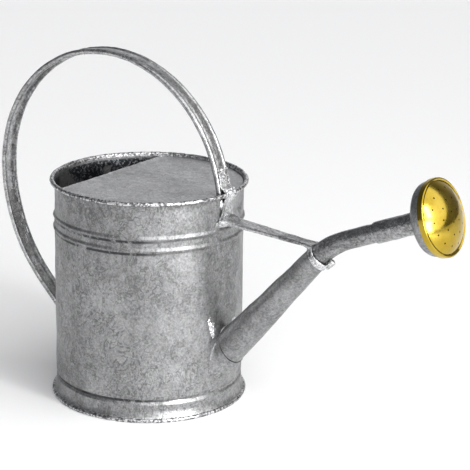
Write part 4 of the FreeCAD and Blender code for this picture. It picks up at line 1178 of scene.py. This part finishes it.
def from_side(azimuth, elevation):
    """Unit vector towards a light, in degrees; azimuth 0 is on the -Y side and 90 on the +X side."""
    a, e = math.radians(azimuth), math.radians(elevation)
    return Vector((math.sin(a) * math.cos(e), -math.cos(a) * math.cos(e), math.sin(e)))


def hang(name, data, toward, location=(0, 0, 0)):
    """Put a light into the scene, looking back along the vector towards it."""
    light = bpy.data.objects.new(name, data)
    light.location = location
    light.rotation_euler = (-toward).to_track_quat("-Z", "Y").to_euler()
    bpy.context.scene.collection.objects.link(light)


def softbox(name, azimuth, elevation, distance, width, height, power):
    """Area light that looks at the can."""
    toward = from_side(azimuth, elevation)
    data = bpy.data.lights.new(name, "AREA")
    data.shape = "RECTANGLE"
    data.size = width
    data.size_y = height
    data.energy = power
    hang(name, data, toward, AIM + toward * distance)


def sky_light(name, azimuth, elevation, spread, strength):
    """Broad distant light, which leaves the floor evenly lit."""
    data = bpy.data.lights.new(name, "SUN")
    data.energy = strength
    data.angle = math.radians(spread)
    hang(name, data, from_side(azimuth, elevation))


def dimmed(tree, coord, colour, toward, low, high, share, dark):
    """The sky's colour blended to a dark one towards a direction."""
    along = add(tree, "VectorMath", {"operation": "DOT_PRODUCT"}, i0=coord, i1=toward).outputs["Value"]
    return blended(tree, between(tree, along, low, high, 0.0, share), colour, dark)


def studio():
    """Pale walls, dimmer overhead and on two sides; a broad key light; a softbox each for wall and rose."""
    world = bpy.data.worlds.new("studio")
    bpy.context.scene.world = world
    world.use_nodes = True
    tree = world.node_tree
    coord = add(tree, "TexCoord").outputs["Generated"]
    height = add(tree, "SeparateXYZ", i0=coord).outputs[2]
    share = between(tree, height, 0.30, 0.80)
    colour = blended(tree, share, (0.95, 0.95, 0.96, 1), (0.12, 0.12, 0.13, 1))
    colour = dimmed(tree, coord, colour, (0.62, 0.78, 0.0), 0.45, 0.9, 0.85, (0.06, 0.055, 0.05, 1))
    colour = dimmed(tree, coord, colour, (-0.94, -0.34, 0.0), 0.05, 0.7, 0.95, (0.10, 0.105, 0.115, 1))
    back = tree.nodes["Background"]
    tree.links.new(colour, back.inputs[0])
    back.inputs[1].default_value = 1.0
    sky_light("key", 75, 45, 100, 2.9)
    softbox("band", 74, 9, 2.3, 0.6, 0.75, 25)
    softbox("rose_light", 80, 33, 2.2, 0.35, 0.8, 16)


def camera():
    """Long lens from the front right of the can, looking down at it and very slightly rolled."""
    azimuth = math.radians(37.5)
    pan, tilt, roll = 0.0494, 0.2981, -0.0151
    distance, height = 2.03058, 0.81446
    look = Vector((math.sin(pan) * math.cos(tilt), math.cos(pan) * math.cos(tilt), -math.sin(tilt)))
    right = Vector((math.cos(pan), -math.sin(pan), 0.0))
    up = right.cross(look)
    right, up = (right * math.cos(roll) - up * math.sin(roll), right * math.sin(roll) + up * math.cos(roll))
    turn = Matrix.Rotation(azimuth, 3, "Z")
    axes = Matrix((turn @ right, turn @ up, turn @ -look)).transposed()
    data = bpy.data.cameras.new("camera")
    data.lens = 138.87
    data.clip_start = 0.05
    data.clip_end = 60.0
    cam = bpy.data.objects.new("camera", data)
    cam.matrix_world = Matrix.Translation(turn @ Vector((0.0, -distance, height))) @ axes.to_4x4()
    bpy.context.scene.collection.objects.link(cam)
    bpy.context.scene.camera = cam


stage_floor()
studio()
camera()
bpy.context.scene.view_settings.view_transform = "Standard"
